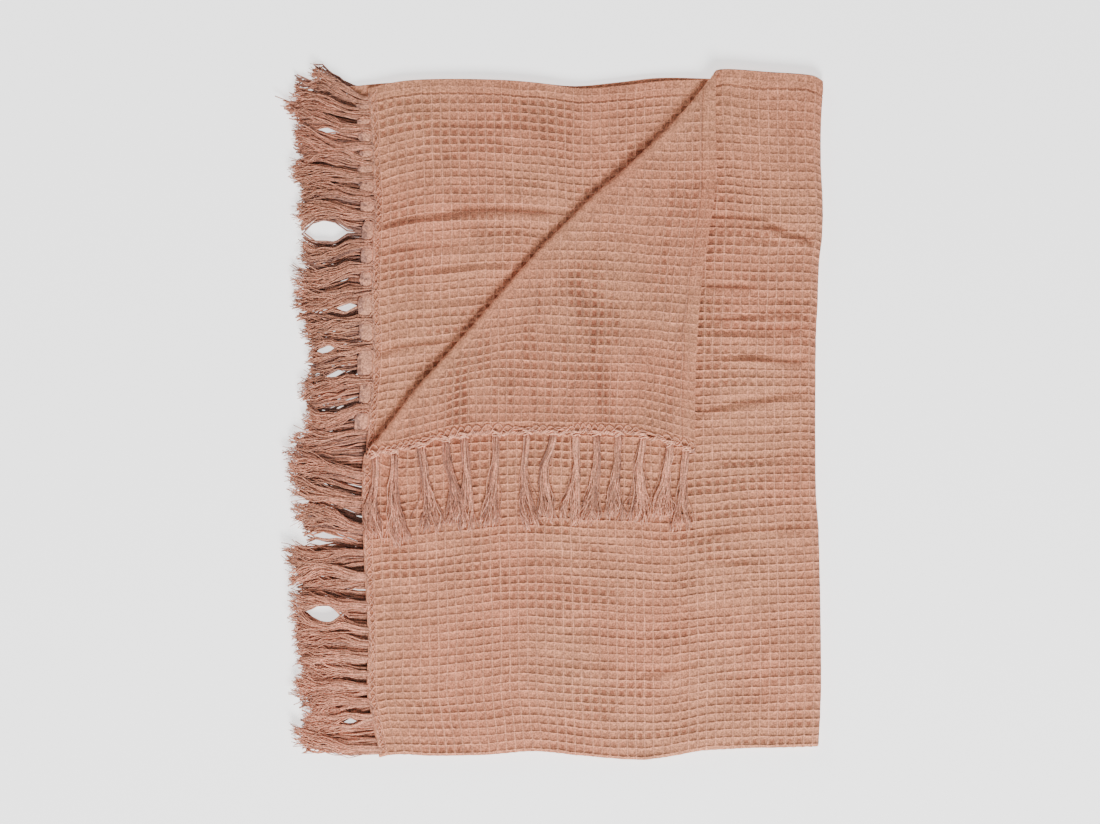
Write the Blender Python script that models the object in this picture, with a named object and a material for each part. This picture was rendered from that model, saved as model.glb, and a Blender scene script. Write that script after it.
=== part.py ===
"""Waffle weave cotton blanket, folded in quarters, with one corner turned back.

The cloth is one flat slab, cut along its creases and then folded in three steps. The corner is
rolled up and back over the upper leaf, the lower half goes under along the foot, and the right
half goes under along the right-hand fold. Leaf 1 is the upper one, and leaf 4 lies on the floor.
Each fringed end is a narrow header beside the cloth, from which the locks of its tassels grow.

In the folding, x runs from the fringes to the right-hand fold, y from the foot to the hems, and
z is the height over the middle of leaf 1. Lengths are in metres, and tables are in millimetres.
"""

import math
import random
from typing import NamedTuple

import bmesh
import bpy
from mathutils import Vector

MM = 0.001

# The cloth
LEAF_LENGTH = 0.4925  # from the fringed edge to the right-hand fold line
LEAF_WIDTH = 0.7465  # from the foot's fold line to the hemmed edge
CLOTH_THICKNESS = 0.0028
LAYER_PITCH = 0.0038  # from the middle of one leaf to the middle of the next
LEAVES = 4

# The fringed ends
SOLID_GAP = 0.0003
HEADER_WIDTH = 0.005
HEADER_THICKNESS = 0.0024
LOCK_WIDTH = 0.0046
LOCK_THICKNESS = 0.0022
LOCK_SPACING = 0.0053  # between the two locks of one tassel, at their roots
LONE_LOCK_WIDTH = 0.0074
REST_PITCH = 0.003  # from one level of resting locks to the next
FLOOR_LANDING = 0.3  # the share of their length in which the lowest locks reach the floor

# The turned-back corner
TURN_FOOT = 0.329  # where its fold meets the fringed edge, from the foot
TURN_HEAD = 0.386  # where its fold meets the hemmed edge, from the fringe
TURN_RADIUS = 0.0034
TURN_EASING = 0.045  # how far behind the fold the corner comes to lie flat
TURN_SHRINK = 0.936  # the loose weave draws in across the fold
TURN_SHEAR = -0.202  # and slides along it
TURN_BOW_REACH = 0.07
FLAP_EDGE_REACH = 0.30
FLAP_EDGE_START = 0.06
LOCK_ABOVE_LEAF = 0.0007

# The folds under the leaves
FOOT_RADIUS = LAYER_PITCH / 2
RIGHT_RADIUS = (LEAVES - 1) * LAYER_PITCH / 2
FOOT_STEPS = 4
RIGHT_STEPS = 6
TURN_STEPS = 5
LEAF_COLUMNS = 14
LEAF_ROWS = 21

CLOTH_LENGTH = 2 * LEAF_LENGTH + math.pi * RIGHT_RADIUS
FOOT_ARC = math.pi * FOOT_RADIUS
TURN_ARC = math.pi * TURN_RADIUS
FLOOR = -(LEAVES - 1) * LAYER_PITCH - CLOTH_THICKNESS / 2

TURN_ALONG = Vector((TURN_HEAD, LEAF_WIDTH - TURN_FOOT)).normalized()
TURN_OUT = Vector((-TURN_ALONG.y, TURN_ALONG.x))
TURN_START = Vector((0, TURN_FOOT)) - TURN_OUT * (TURN_RADIUS + CLOTH_THICKNESS / 2)

# The place in the folding that becomes the origin, under the middle of the whole
CENTRE = Vector((0.1994, 0.3730))


class LeafEdge(NamedTuple):
    """How far each leaf's edge lies from its straight line, at one distance along it."""

    at: float
    leaf_1: float
    leaf_2: float
    leaf_3: float
    leaf_4: float


class FoldEdge(NamedTuple):
    """How far a fold lies from its straight line, at one distance along it."""

    at: float
    out: float


class Swell(NamedTuple):
    """A soft rise or dip of the whole pile: its middle, its reach and its share of the height."""

    x: float
    y: float
    reach_x: float
    reach_y: float
    gain: float


class Tassel(NamedTuple):
    """A tassel's root and tip along its edge, its length, and half the spread of its two locks."""

    root: float
    tip: float
    length: float
    fan: float


# Hemmed edges, at a distance from the fringe: how much higher the edge lies
HEM_EDGES = [
    LeafEdge(0, 0, -14, -12, -13),
    LeafEdge(36, 0, -6, -8, -7),
    LeafEdge(80, 0, -3.5, -6, -4),
    LeafEdge(146, 0, -4.5, -6, -5),
    LeafEdge(190, 0, -8, -7, -9),
    LeafEdge(234, 0, -14, -11, -12),
    LeafEdge(278, 0, -11, -7, -9),
    LeafEdge(322, 0, -6, -2, -4),
    LeafEdge(383, 2, -4, -3, -3),
    LeafEdge(400, 3, -3, -4, -5),
    LeafEdge(440, 1, -1, -2, -2),
    LeafEdge(487, -1, -1, -1, -1),
    LeafEdge(500, -6, -6, -6, -6),
]

# Fringed edges, at a distance from the foot: how far to the right the edge lies
FRINGED_EDGES = [
    LeafEdge(0, 13, 13, 13, 13),
    LeafEdge(15, 11, 10, 9, 12),
    LeafEdge(43, 5, 4, 4, 7),
    LeafEdge(70, 0, 2, 2, 4),
    LeafEdge(125, 1, 3, 4, 2),
    LeafEdge(213, -3, 0, 3, 5),
    LeafEdge(300, -5, -2, 2, 4),
    LeafEdge(345, -2, -1, 3, 5),
    LeafEdge(411, 0, 4, 6, 3),
    LeafEdge(455, 0, 6, 4, 6),
    LeafEdge(510, 0, 4, 6, 8),
    LeafEdge(609, 0, 7, 5, 4),
    LeafEdge(664, 0, 5, 4, 6),
    LeafEdge(708, 0, 3, -2, 5),
    LeafEdge(735, 0, 1, -21, 2),
    LeafEdge(750, 0, 1, -24, -2),
]

# The right-hand fold, at a distance from the foot: how far to the right it lies
RIGHT_FOLD = [
    FoldEdge(0, -2),
    FoldEdge(60, 0.5),
    FoldEdge(150, 0),
    FoldEdge(240, -2),
    FoldEdge(285, -5),
    FoldEdge(360, -5.5),
    FoldEdge(455, -5),
    FoldEdge(500, -3),
    FoldEdge(543, -1.5),
    FoldEdge(575, 2),
    FoldEdge(609, 2.5),
    FoldEdge(655, 0.5),
    FoldEdge(697, 0.5),
    FoldEdge(736, 3),
]

# The foot's fold, at a distance from the fringe: how much higher it lies
FOOT_FOLD = [
    FoldEdge(0, -2),
    FoldEdge(20, 1),
    FoldEdge(60, 0),
    FoldEdge(125, 1),
    FoldEdge(180, 4.5),
    FoldEdge(230, 0),
    FoldEdge(298, -4.5),
    FoldEdge(335, -1),
    FoldEdge(364, 4.5),
    FoldEdge(400, 7),
    FoldEdge(470, 9),
    FoldEdge(500, 10),
]

# The turned corner's fold, at a distance from its start: how far out it bows
TURN_FOLD = [
    FoldEdge(0, 1),
    FoldEdge(45, 5),
    FoldEdge(85, 10),
    FoldEdge(170, 11.5),
    FoldEdge(285, 14.5),
    FoldEdge(375, 12),
    FoldEdge(420, 7),
    FoldEdge(480, 2),
    FoldEdge(525, 2),
    FoldEdge(572, 6),
]

# The turned corner's fringed edge, at a distance from the fold: how much higher it lies
FLAP_FRINGED_EDGE = [
    FoldEdge(0, 0),
    FoldEdge(45, 10),
    FoldEdge(90, 12),
    FoldEdge(140, 20),
    FoldEdge(240, 23),
    FoldEdge(340, 23),
    FoldEdge(370, 16),
    FoldEdge(400, 6),
    FoldEdge(417, 0),
]

# The turned corner's hemmed edge, at a distance from the fold: how far to the right it lies
FLAP_HEMMED_EDGE = [
    FoldEdge(0, 0),
    FoldEdge(110, 3),
    FoldEdge(170, -2),
    FoldEdge(240, -5),
    FoldEdge(330, -4),
    FoldEdge(386, 0),
]

SWELLS = [
    Swell(486, 735, 70, 60, -0.14),
    Swell(440, 560, 90, 60, 0.10),
    Swell(470, 390, 80, 90, -0.07),
    Swell(380, 160, 120, 90, 0.07),
    Swell(200, 60, 130, 80, 0.05),
    Swell(90, 690, 110, 80, 0.06),
    Swell(240, 590, 110, 80, -0.06),
    Swell(20, 20, 70, 70, -0.10),
]

LEAF_1_TASSELS = [
    Tassel(8, 20, 92, 4.0),
    Tassel(42, 37, 76, 4.2),
    Tassel(58, 52, 70, 3.2),
    Tassel(75, 77, 85, 3.6),
    Tassel(92, 94, 73, 3.6),
    Tassel(108, 110, 80, 3.6),
    Tassel(123, 127, 84, 3.6),
    Tassel(139, 145, 86, 4.2),
    Tassel(164, 172, 84, 5.0),
    Tassel(196, 196, 84, 4.6),
    Tassel(221, 221, 89, 5.0),
    Tassel(250, 264, 78, 5.0),
    Tassel(280, 300, 82, 5.5),
    Tassel(309, 324, 89, 5.0),
]

LEAF_2_TASSELS = [
    Tassel(356, 347, 86, 4.6),
    Tassel(385, 374, 73, 5.0),
    Tassel(416, 406, 80, 5.0),
    Tassel(455, 446, 75, 5.5),
    Tassel(484, 479, 80, 5.0),
    Tassel(517, 509, 88, 5.5),
    Tassel(543, 537, 88, 4.6),
    Tassel(570, 563, 83, 5.0),
    Tassel(601, 608, 90, 4.6),
    Tassel(623, 630, 83, 4.2),
    Tassel(645, 651, 92, 4.2),
    Tassel(664, 673, 80, 4.0),
    Tassel(681, 693, 85, 4.0),
    Tassel(701, 713, 81, 4.0),
    Tassel(717, 732, 89, 4.0),
    Tassel(732, 756, 66, 4.0),
]

# Roots are distances along the cloth's edge from the foot, and tips are distances from the fringe
FLAP_TASSELS = [
    Tassel(344, 15, 85, 6.0),
    Tassel(368, 46, 93, 4.0),
    Tassel(403, 81, 84, 6.0),
    Tassel(434, 97, 82, 3.6),
    Tassel(456, 112, 92, 4.4),
    Tassel(495, 138, 94, 4.4),
    Tassel(533, 181, 96, 5.0),
    Tassel(567, 198, 90, 4.4),
    Tassel(594, 224, 91, 4.2),
    Tassel(620, 248, 90, 4.6),
    Tassel(649, 274, 86, 5.0),
    Tassel(680, 297, 88, 5.0),
    Tassel(714, 327, 76, 5.6),
    Tassel(735, 348, 82, 4.6),
]


class LockStep(NamedTuple):
    """A share of a lock's length, and how wide it is there for the width of its root."""

    share: float
    widening: float


LOCK_STEPS = [LockStep(0.3, 1.08), LockStep(0.65, 1.2), LockStep(1.0, 0.9)]
LONE_LOCK_STEPS = [LockStep(0.45, 1.15), LockStep(1.0, 0.85)]


class Section(NamedTuple):
    """One cross-section of a lock: its middle in the folding, its direction and half its sizes."""

    middle: Vector
    across: Vector
    half_width: float
    half_thickness: float


class Root(NamedTuple):
    """Where a lock's root lies along the flat fringed edge, and what grows there.

    side is -1 or 1 for the two locks of a tassel, and 0 for a lone lock. leaf counts from 0.
    """

    at: float
    half_width: float
    tassel: Tassel
    side: int
    leaf: int
    turned: bool


def smooth(share):
    """An easing from 0 to 1 with level ends."""
    share = min(max(share, 0.0), 1.0)
    return share * share * (3 - 2 * share)


def read_table(rows, column, at):
    """A smooth curve through one column of a table, in metres, at a distance in metres."""
    at = min(max(at / MM, rows[0].at), rows[-1].at)
    index = max(i for i in range(len(rows) - 1) if rows[i].at <= at)
    low, high = rows[index], rows[index + 1]
    before, after = rows[max(index - 1, 0)], rows[min(index + 2, len(rows) - 1)]
    step = high.at - low.at
    value_low, value_high = getattr(low, column), getattr(high, column)
    slope_low = (value_high - getattr(before, column)) / (high.at - before.at)
    slope_high = (getattr(after, column) - value_low) / (after.at - low.at)
    t = (at - low.at) / step
    curve = (
        (1 + 2 * t) * (1 - t) ** 2 * value_low
        + t * (1 - t) ** 2 * step * slope_low
        + t * t * (3 - 2 * t) * value_high
        - t * t * (1 - t) * step * slope_high
    )
    return curve * MM


def turn_corner(point):
    """Roll the corner beyond the slanting fold up and back over leaf 1."""
    from_start = point.xy - TURN_START
    beyond = from_start.dot(TURN_OUT)
    if beyond <= 0:
        return point
    along = from_start.dot(TURN_ALONG)
    angle = min(beyond, TURN_ARC) / TURN_RADIUS
    out = (TURN_RADIUS - point.z) * math.sin(angle)
    rise = TURN_RADIUS - (TURN_RADIUS - point.z) * math.cos(angle)
    back = max(beyond - TURN_ARC, 0)
    rise -= (2 * TURN_RADIUS - LAYER_PITCH) * smooth(back / TURN_EASING)
    spot = TURN_START + TURN_ALONG * (along + TURN_SHEAR * back) + TURN_OUT * (out - TURN_SHRINK * back)
    started = smooth(back / FLAP_EDGE_START)
    near_fringe = max(1 - point.x / FLAP_EDGE_REACH, 0) ** 2
    near_hem = max(1 - (LEAF_WIDTH - point.y) / FLAP_EDGE_REACH, 0) ** 2
    lift = read_table(FLAP_FRINGED_EDGE, "out", point.y - TURN_FOOT)
    sway = read_table(FLAP_HEMMED_EDGE, "out", TURN_HEAD - point.x)
    return Vector((spot.x + sway * near_hem * started, spot.y + lift * near_fringe * started, rise))


def fold_under_foot(point):
    """Take the half below the foot's fold line under leaf 1."""
    below = -point.y
    if below <= 0:
        return point
    if below >= FOOT_ARC:
        return Vector((point.x, below - FOOT_ARC, -2 * FOOT_RADIUS - point.z))
    angle = below / FOOT_RADIUS
    reach = FOOT_RADIUS + point.z
    return Vector((point.x, -reach * math.sin(angle), -FOOT_RADIUS + reach * math.cos(angle)))


def fold_under_right(point):
    """Take the half past the right-hand fold line under the first two leaves."""
    past = point.x - LEAF_LENGTH
    if past <= 0:
        return point
    if past >= math.pi * RIGHT_RADIUS:
        return Vector((CLOTH_LENGTH - point.x, point.y, -2 * RIGHT_RADIUS - point.z))
    angle = past / RIGHT_RADIUS
    reach = RIGHT_RADIUS + point.z
    return Vector((LEAF_LENGTH + reach * math.sin(angle), point.y, -RIGHT_RADIUS + reach * math.cos(angle)))


def fold(flat):
    """The place in the folding of a point of the flat cloth, with z its height over mid-cloth."""
    return fold_under_right(fold_under_foot(turn_corner(flat)))


def leaf_at(height):
    """The leaf at a height, from 0 for leaf 1 to 3 for leaf 4, level through each thickness."""
    depth = min(max(-height / LAYER_PITCH, 0), LEAVES - 1)
    whole = min(math.floor(depth), LEAVES - 2)
    solid = CLOTH_THICKNESS / 2 / LAYER_PITCH
    return whole + smooth((depth - whole - solid) / (1 - 2 * solid))


def read_leaves(rows, leaf, at):
    """An edge's offset between the columns of two neighbouring leaves."""
    upper = min(int(leaf), LEAVES - 2)
    share = leaf - upper
    above = read_table(rows, f"leaf_{upper + 1}", at)
    if share == 0:
        return above
    return above + (read_table(rows, f"leaf_{upper + 2}", at) - above) * share


def settle(place, leaf):
    """Give the straight folding the outline and the uneven height that it settles in."""
    right = min(max(place.x / LEAF_LENGTH, 0), 1) ** 2
    left = (1 - min(max(place.x / LEAF_LENGTH, 0), 1)) ** 2
    head = min(max(place.y / LEAF_WIDTH, 0), 1) ** 2
    foot = (1 - min(max(place.y / LEAF_WIDTH, 0), 1)) ** 2
    x = place.x + left * read_leaves(FRINGED_EDGES, leaf, place.y)
    x += right * read_table(RIGHT_FOLD, "out", place.y)
    y = place.y + head * read_leaves(HEM_EDGES, leaf, place.x)
    y += foot * read_table(FOOT_FOLD, "out", place.x)
    from_start = place.xy - TURN_START
    from_fold = from_start.dot(TURN_OUT) / TURN_BOW_REACH
    bow = read_table(TURN_FOLD, "out", from_start.dot(TURN_ALONG))
    bow *= math.exp(-from_fold * from_fold) * max(1 - leaf, 0)
    x += TURN_OUT.x * bow
    y += TURN_OUT.y * bow
    gain = 1.0
    for swell in SWELLS:
        reach = ((x / MM - swell.x) / swell.reach_x) ** 2 + ((y / MM - swell.y) / swell.reach_y) ** 2
        gain += swell.gain * math.exp(-reach)
    return Vector((x - CENTRE.x, y - CENTRE.y, (place.z - FLOOR) * gain))


def corner_creases():
    """How far past the slanting fold line each crease lies that the turned corner bends at."""
    around = [TURN_ARC * step / TURN_STEPS for step in range(TURN_STEPS + 1)]
    return around + [TURN_ARC + TURN_EASING * share for share in (0.35, 0.7, 1.0)]


def flat_slab(low_x, high_x, thickness, columns, rows):
    """A flat slab of cloth of the full width, cut along its columns, rows and corner creases."""
    mesh = bmesh.new()
    low_y, high_y = -LEAF_WIDTH - FOOT_ARC, LEAF_WIDTH
    corners = [(low_x, low_y), (high_x, low_y), (high_x, high_y), (low_x, high_y)]
    mesh.faces.new([mesh.verts.new((x, y, -thickness / 2)) for x, y in corners])
    cuts = [(Vector((x, 0, 0)), Vector((1, 0, 0))) for x in columns]
    cuts += [(Vector((0, y, 0)), Vector((0, 1, 0))) for y in rows]
    cuts += [((TURN_START + TURN_OUT * out).to_3d(), TURN_OUT.to_3d()) for out in corner_creases()]
    for spot, normal in cuts:
        parts = mesh.verts[:] + mesh.edges[:] + mesh.faces[:]
        bmesh.ops.bisect_plane(mesh, geom=parts, dist=1e-6, plane_co=spot, plane_no=normal)
    made = bmesh.ops.extrude_face_region(mesh, geom=mesh.faces[:])
    raised = [part for part in made["geom"] if isinstance(part, bmesh.types.BMVert)]
    bmesh.ops.translate(mesh, verts=raised, vec=(0, 0, thickness))
    bmesh.ops.recalc_face_normals(mesh, faces=mesh.faces[:])
    return mesh


def even_steps(low, high, count):
    """The places between two ends that part them into equal steps."""
    return [low + (high - low) * step / count for step in range(1, count)]


def cloth_rows():
    """The cuts across the cloth's width, closer together where it bends at the foot."""
    rows = even_steps(0, LEAF_WIDTH, LEAF_ROWS)
    rows += [-FOOT_ARC * step / FOOT_STEPS for step in range(FOOT_STEPS + 1)]
    return rows + even_steps(-FOOT_ARC, -FOOT_ARC - LEAF_WIDTH, LEAF_ROWS)


def finish_object(name, mesh, colour):
    """Turn a mesh into a named object of flat triangles, with its own material."""
    bmesh.ops.triangulate(mesh, faces=mesh.faces[:])
    data = bpy.data.meshes.new(name)
    mesh.to_mesh(data)
    mesh.free()
    material = bpy.data.materials.new(name)
    material.use_nodes = True
    shader = material.node_tree.nodes["Principled BSDF"]
    shader.inputs["Base Color"].default_value = (*colour, 1)
    shader.inputs["Roughness"].default_value = 0.95
    shader.inputs["Metallic"].default_value = 0
    data.materials.append(material)
    made = bpy.data.objects.new(name, data)
    bpy.context.collection.objects.link(made)
    return made


def make_cloth():
    """The woven cloth between the two headers, folded and settled."""
    edge = HEADER_WIDTH + SOLID_GAP
    right_end = LEAF_LENGTH + math.pi * RIGHT_RADIUS
    columns = even_steps(edge, LEAF_LENGTH, LEAF_COLUMNS)
    columns += [LEAF_LENGTH + math.pi * RIGHT_RADIUS * step / RIGHT_STEPS for step in range(RIGHT_STEPS + 1)]
    columns += even_steps(right_end, CLOTH_LENGTH - edge, LEAF_COLUMNS)
    mesh = flat_slab(edge, CLOTH_LENGTH - edge, CLOTH_THICKNESS, columns, cloth_rows())
    for vert in mesh.verts:
        place = fold(vert.co)
        vert.co = settle(place, leaf_at(place.z))
    return finish_object("blanket_cloth", mesh, (0.58, 0.34, 0.25))


def lock_sections(root, middle, width):
    """The cross-sections of one lock, from near its root to its tip.

    middle and width are those of its root face. On the turned corner the tassels hang towards
    the foot, and a tip's place is measured from the fringe.
    """
    out, along = (Vector((0, -1)), Vector((1, 0))) if root.turned else (Vector((-1, 0)), Vector((0, 1)))
    length = root.tassel.length * MM
    shift = (root.tassel.tip + root.side * root.tassel.fan) * MM - middle.xy.dot(along)
    steps = LONE_LOCK_STEPS if root.side == 0 else LOCK_STEPS
    rest = FLOOR + (LEAVES - 1 - root.leaf) * REST_PITCH + LOCK_THICKNESS / 2
    if root.turned:
        rest = (CLOTH_THICKNESS + LOCK_THICKNESS) / 2 + LOCK_ABOVE_LEAF
    landing = FLOOR_LANDING if root.leaf == LEAVES - 1 else 1.0
    sections = []
    for step in steps:
        spot = (middle.xy + out * length * step.share + along * shift * smooth(step.share)).to_3d()
        spot.z = rest + (middle.z - rest) * max(1 - step.share / landing, 0)
        course = (out * length + along * shift * 6 * step.share * (1 - step.share)).normalized()
        across = Vector((-course.y, course.x, 0))
        sections.append(Section(spot, across, width * step.widening / 2, LOCK_THICKNESS / 2))
    return sections


def grow_lock(mesh, root_face, root, places):
    """Extrude a lock from its root face, and note where each of its corners lies."""
    corners = [places[loop.vert] for loop in root_face.loops]
    middle = sum(corners, Vector()) / len(corners)
    width = max((high.xy - low.xy).length for high in corners for low in corners)
    sections = lock_sections(root, middle, width)
    sides = [math.copysign(1, (corner - middle).dot(sections[0].across)) for corner in corners]
    ups = [math.copysign(1, corner.z - middle.z) for corner in corners]
    face = root_face
    for section in sections:
        face = bmesh.ops.extrude_discrete_faces(mesh, faces=[face])["faces"][0]
        for loop, side, up in zip(face.loops, sides, ups):
            spot = section.middle + section.across * side * section.half_width
            places[loop.vert] = spot + Vector((0, 0, up * section.half_thickness))


def crease_rows():
    """Where the corner's slanting creases meet the first fringed edge."""
    return [TURN_FOOT + (out - TURN_RADIUS - CLOTH_THICKNESS / 2) / TURN_OUT.y for out in corner_creases()]


def clear_of_cuts(at, half_width, split):
    """Shift a root so that no cut of the header crosses it, except between a pair of locks."""
    near = [row for row in cloth_rows() + crease_rows() if abs(row - at) < half_width + SOLID_GAP]
    if not near:
        return at
    row = near[0]
    if split and abs(row - at) < half_width / 2:
        return row
    return row + math.copysign(half_width + SOLID_GAP, at - row)


def pair_of_roots(tassel, at, leaf, turned):
    """The roots of a tassel that shows two locks."""
    at = clear_of_cuts(at, (LOCK_SPACING + LOCK_WIDTH) / 2, True)
    up = 1 if at > 0 else -1
    return [
        Root(at + up * side * LOCK_SPACING / 2, LOCK_WIDTH / 2, tassel, side, leaf, turned)
        for side in (-1, 1)
    ]


def lone_root(tassel, at, leaf):
    """The root of a tassel that is mostly hidden, as one broad lock."""
    at = clear_of_cuts(at, LONE_LOCK_WIDTH / 2, False)
    return Root(at, LONE_LOCK_WIDTH / 2, tassel, 0, leaf, False)


def under_tassels(tassels, seed):
    """The tassels of a lower leaf, each mostly hidden by the one above it."""
    chance = random.Random(seed)
    return [
        Tassel(
            root=tassel.root + chance.uniform(-1, 1),
            tip=tassel.tip + chance.uniform(-2, 2),
            length=tassel.length * chance.uniform(0.88, 0.98),
            fan=0,
        )
        for tassel in tassels
    ]


def first_end_roots():
    """The roots on leaf 1, the turned corner and leaf 2."""
    roots = []
    for tassel in LEAF_1_TASSELS:
        roots += pair_of_roots(tassel, tassel.root * MM, 0, False)
    for tassel in FLAP_TASSELS:
        roots += pair_of_roots(tassel, tassel.root * MM, 0, True)
    for tassel in LEAF_2_TASSELS:
        roots += pair_of_roots(tassel, -FOOT_ARC - tassel.root * MM, 1, False)
    for tassel in under_tassels(LEAF_1_TASSELS, seed=2):
        roots.append(lone_root(tassel, -FOOT_ARC - tassel.root * MM, 1))
    return roots


def second_end_roots():
    """The roots on leaf 4 and leaf 3."""
    roots = []
    for tassel in under_tassels(LEAF_1_TASSELS + LEAF_2_TASSELS, seed=4):
        roots.append(lone_root(tassel, tassel.root * MM, 3))
    for tassel in under_tassels(LEAF_1_TASSELS + LEAF_2_TASSELS, seed=3):
        roots.append(lone_root(tassel, -FOOT_ARC - tassel.root * MM, 2))
    return roots


def root_rows(root):
    """The two cuts that bound a lock's root face."""
    return (root.at - root.half_width, root.at + root.half_width)


def straighten_edges(flat, settled, loose_rows):
    """Put the header's corners at the locks in line with those at the cloth's own cuts."""
    columns = {}
    for vert, spot in flat.items():
        columns.setdefault((round(spot.x, 5), round(spot.z, 5)), []).append(vert)
    for column in columns.values():
        column.sort(key=lambda vert: flat[vert].y)
        firm = [vert for vert in column if all(abs(flat[vert].y - row) > 1e-6 for row in loose_rows)]
        for low, high in zip(firm, firm[1:]):
            height = flat[high].y - flat[low].y
            for vert in column[column.index(low) + 1 : column.index(high)]:
                share = (flat[vert].y - flat[low].y) / height
                settled[vert] = settled[low].lerp(settled[high], share)


def make_fringe(name, inner_edge, outer_edge, roots, colour):
    """A header strip along one end of the cloth, with the locks that grow from it."""
    low, high = sorted((inner_edge, outer_edge))
    rows = cloth_rows() + [row for root in roots for row in root_rows(root)]
    mesh = flat_slab(low, high, HEADER_THICKNESS, [], rows)
    flat = {vert: vert.co.copy() for vert in mesh.verts}
    outer_faces = [face for face in mesh.faces if all(abs(v.co.x - outer_edge) < 1e-6 for v in face.verts)]
    root_faces = {
        root: min(outer_faces, key=lambda face, at=root.at: abs(face.calc_center_median().y - at))
        for root in roots
    }
    places = {vert: fold(vert.co) for vert in mesh.verts}
    leaves = {vert: leaf_at(place.z) for vert, place in places.items()}
    for root, face in root_faces.items():
        grow_lock(mesh, face, root, places)
        leaves.update((vert, root.leaf) for vert in places if vert not in leaves)
    settled = {vert: settle(places[vert], leaves[vert]) for vert in mesh.verts}
    straighten_edges(flat, settled, {row for root in roots for row in root_rows(root)})
    for vert, place in settled.items():
        vert.co = place
    return finish_object(name, mesh, colour)


def main():
    """Clear the scene, and model the blanket."""
    for old in list(bpy.data.objects):
        bpy.data.objects.remove(old, do_unlink=True)
    make_cloth()
    make_fringe("fringe_end_a", HEADER_WIDTH, 0, first_end_roots(), (0.50, 0.27, 0.20))
    far_header = CLOTH_LENGTH - HEADER_WIDTH
    make_fringe("fringe_end_b", far_header, CLOTH_LENGTH, second_end_roots(), (0.42, 0.24, 0.18))


if __name__ == "__main__":
    main()
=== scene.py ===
"""Visual model of the folded waffle weave cotton blanket.

The cloth is made on the same folding as the solids: each piece is a window of one flat weave,
measured in cells, with the waffle's ridges raised in its points, and is then folded and settled.
The fringe is made of loose yarns, gathered into tassels at the places where the solids have
their locks. Lengths are in metres, and tables are in millimetres.

In the folding, x runs from the fringes to the right-hand fold, y from the foot to the hems, and
z is the height over the middle of leaf 1. In the flat weave, u counts cells from the first
fringed end and v counts cells from the second leaf's hem.
"""
import logging
import math
import random
from collections.abc import Sequence
from dataclasses import dataclass, field
from enum import Enum
from functools import cached_property
from typing import NamedTuple, TypeVar

import bmesh
import bpy
import numpy as np
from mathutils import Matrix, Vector


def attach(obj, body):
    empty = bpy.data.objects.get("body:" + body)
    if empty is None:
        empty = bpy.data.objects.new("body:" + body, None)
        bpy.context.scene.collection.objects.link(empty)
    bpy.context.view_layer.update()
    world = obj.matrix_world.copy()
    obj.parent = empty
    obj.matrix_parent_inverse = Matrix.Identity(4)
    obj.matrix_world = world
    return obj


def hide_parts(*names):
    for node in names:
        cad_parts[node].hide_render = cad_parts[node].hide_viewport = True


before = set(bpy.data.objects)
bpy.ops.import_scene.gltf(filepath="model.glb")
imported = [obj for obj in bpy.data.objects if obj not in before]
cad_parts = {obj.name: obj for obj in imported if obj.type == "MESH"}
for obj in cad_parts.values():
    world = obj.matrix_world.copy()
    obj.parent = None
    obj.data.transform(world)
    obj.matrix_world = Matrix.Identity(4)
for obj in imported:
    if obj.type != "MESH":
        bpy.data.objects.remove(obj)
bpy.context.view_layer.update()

Array = np.ndarray
Row = TypeVar("Row")
MM = 0.001
TAU = math.tau
BODY = "root"
log = logging.getLogger("blanket")


class Side(Enum):
    """The two faces of the cloth."""

    FACE = 1
    REVERSE = -1


class Cut(Enum):
    """What a piece of cloth keeps at the slanting fold line of the turned corner."""

    NOTHING_CUT = 0
    KEEPS_LEAF = 1
    KEEPS_CORNER = 2


class CreaseForm(Enum):
    """How a crease lies: raised on its right-hand side, sunk, or raised."""

    STEP = 0
    TROUGH = 1
    RIDGE = 2


class LeafEdge(NamedTuple):
    """How far each leaf's edge lies from its straight line, at one distance along it."""

    at: float
    leaf_1: float
    leaf_2: float
    leaf_3: float
    leaf_4: float


class FoldEdge(NamedTuple):
    """How far a fold lies from its straight line, at one distance along it."""

    at: float
    out: float


class Swell(NamedTuple):
    """A soft rise or dip of the whole pile: its middle, its reach and its share of the height."""

    x: float
    y: float
    reach_x: float
    reach_y: float
    gain: float


class Tassel(NamedTuple):
    """A tassel's root and tip along its edge, its length, and half the spread of its halves."""

    root: float
    tip: float
    length: float
    fan: float


class Crease(NamedTuple):
    """A crease from one place to another: its form, height, half width and sideways bow."""

    x_from: float
    y_from: float
    x_to: float
    y_to: float
    form: CreaseForm
    height: float
    reach: float
    bow: float


class Pressed(NamedTuple):
    """A place where the cloth was pressed: its middle, its half widths, and how much was lost."""

    x: float
    y: float
    across: float
    along: float
    share: float


class DriftStep(NamedTuple):
    """How far the rows stray upwards at one distance from the fringe, in four bands."""

    at: float
    first: float
    second: float
    third: float
    fourth: float


class Gap(NamedTuple):
    """An open place in the fringe, through which the floor shows, in the folding's x and y."""

    x_from: float
    x_to: float
    y_from: float
    y_to: float


class Band(NamedTuple):
    """A distance from the foot, and the column of a drift table that holds there, if any."""

    at: float
    column: str


def rows_of(kind: type[Row], *rows: tuple) -> list[Row]:
    """Name the values in the rows of a table.

    Args:
        kind: What each row is.
        rows: The rows, with their values in the order of its fields.

    Returns:
        The rows, each as one of that kind.
    """
    return [kind(*row) for row in rows]


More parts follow.
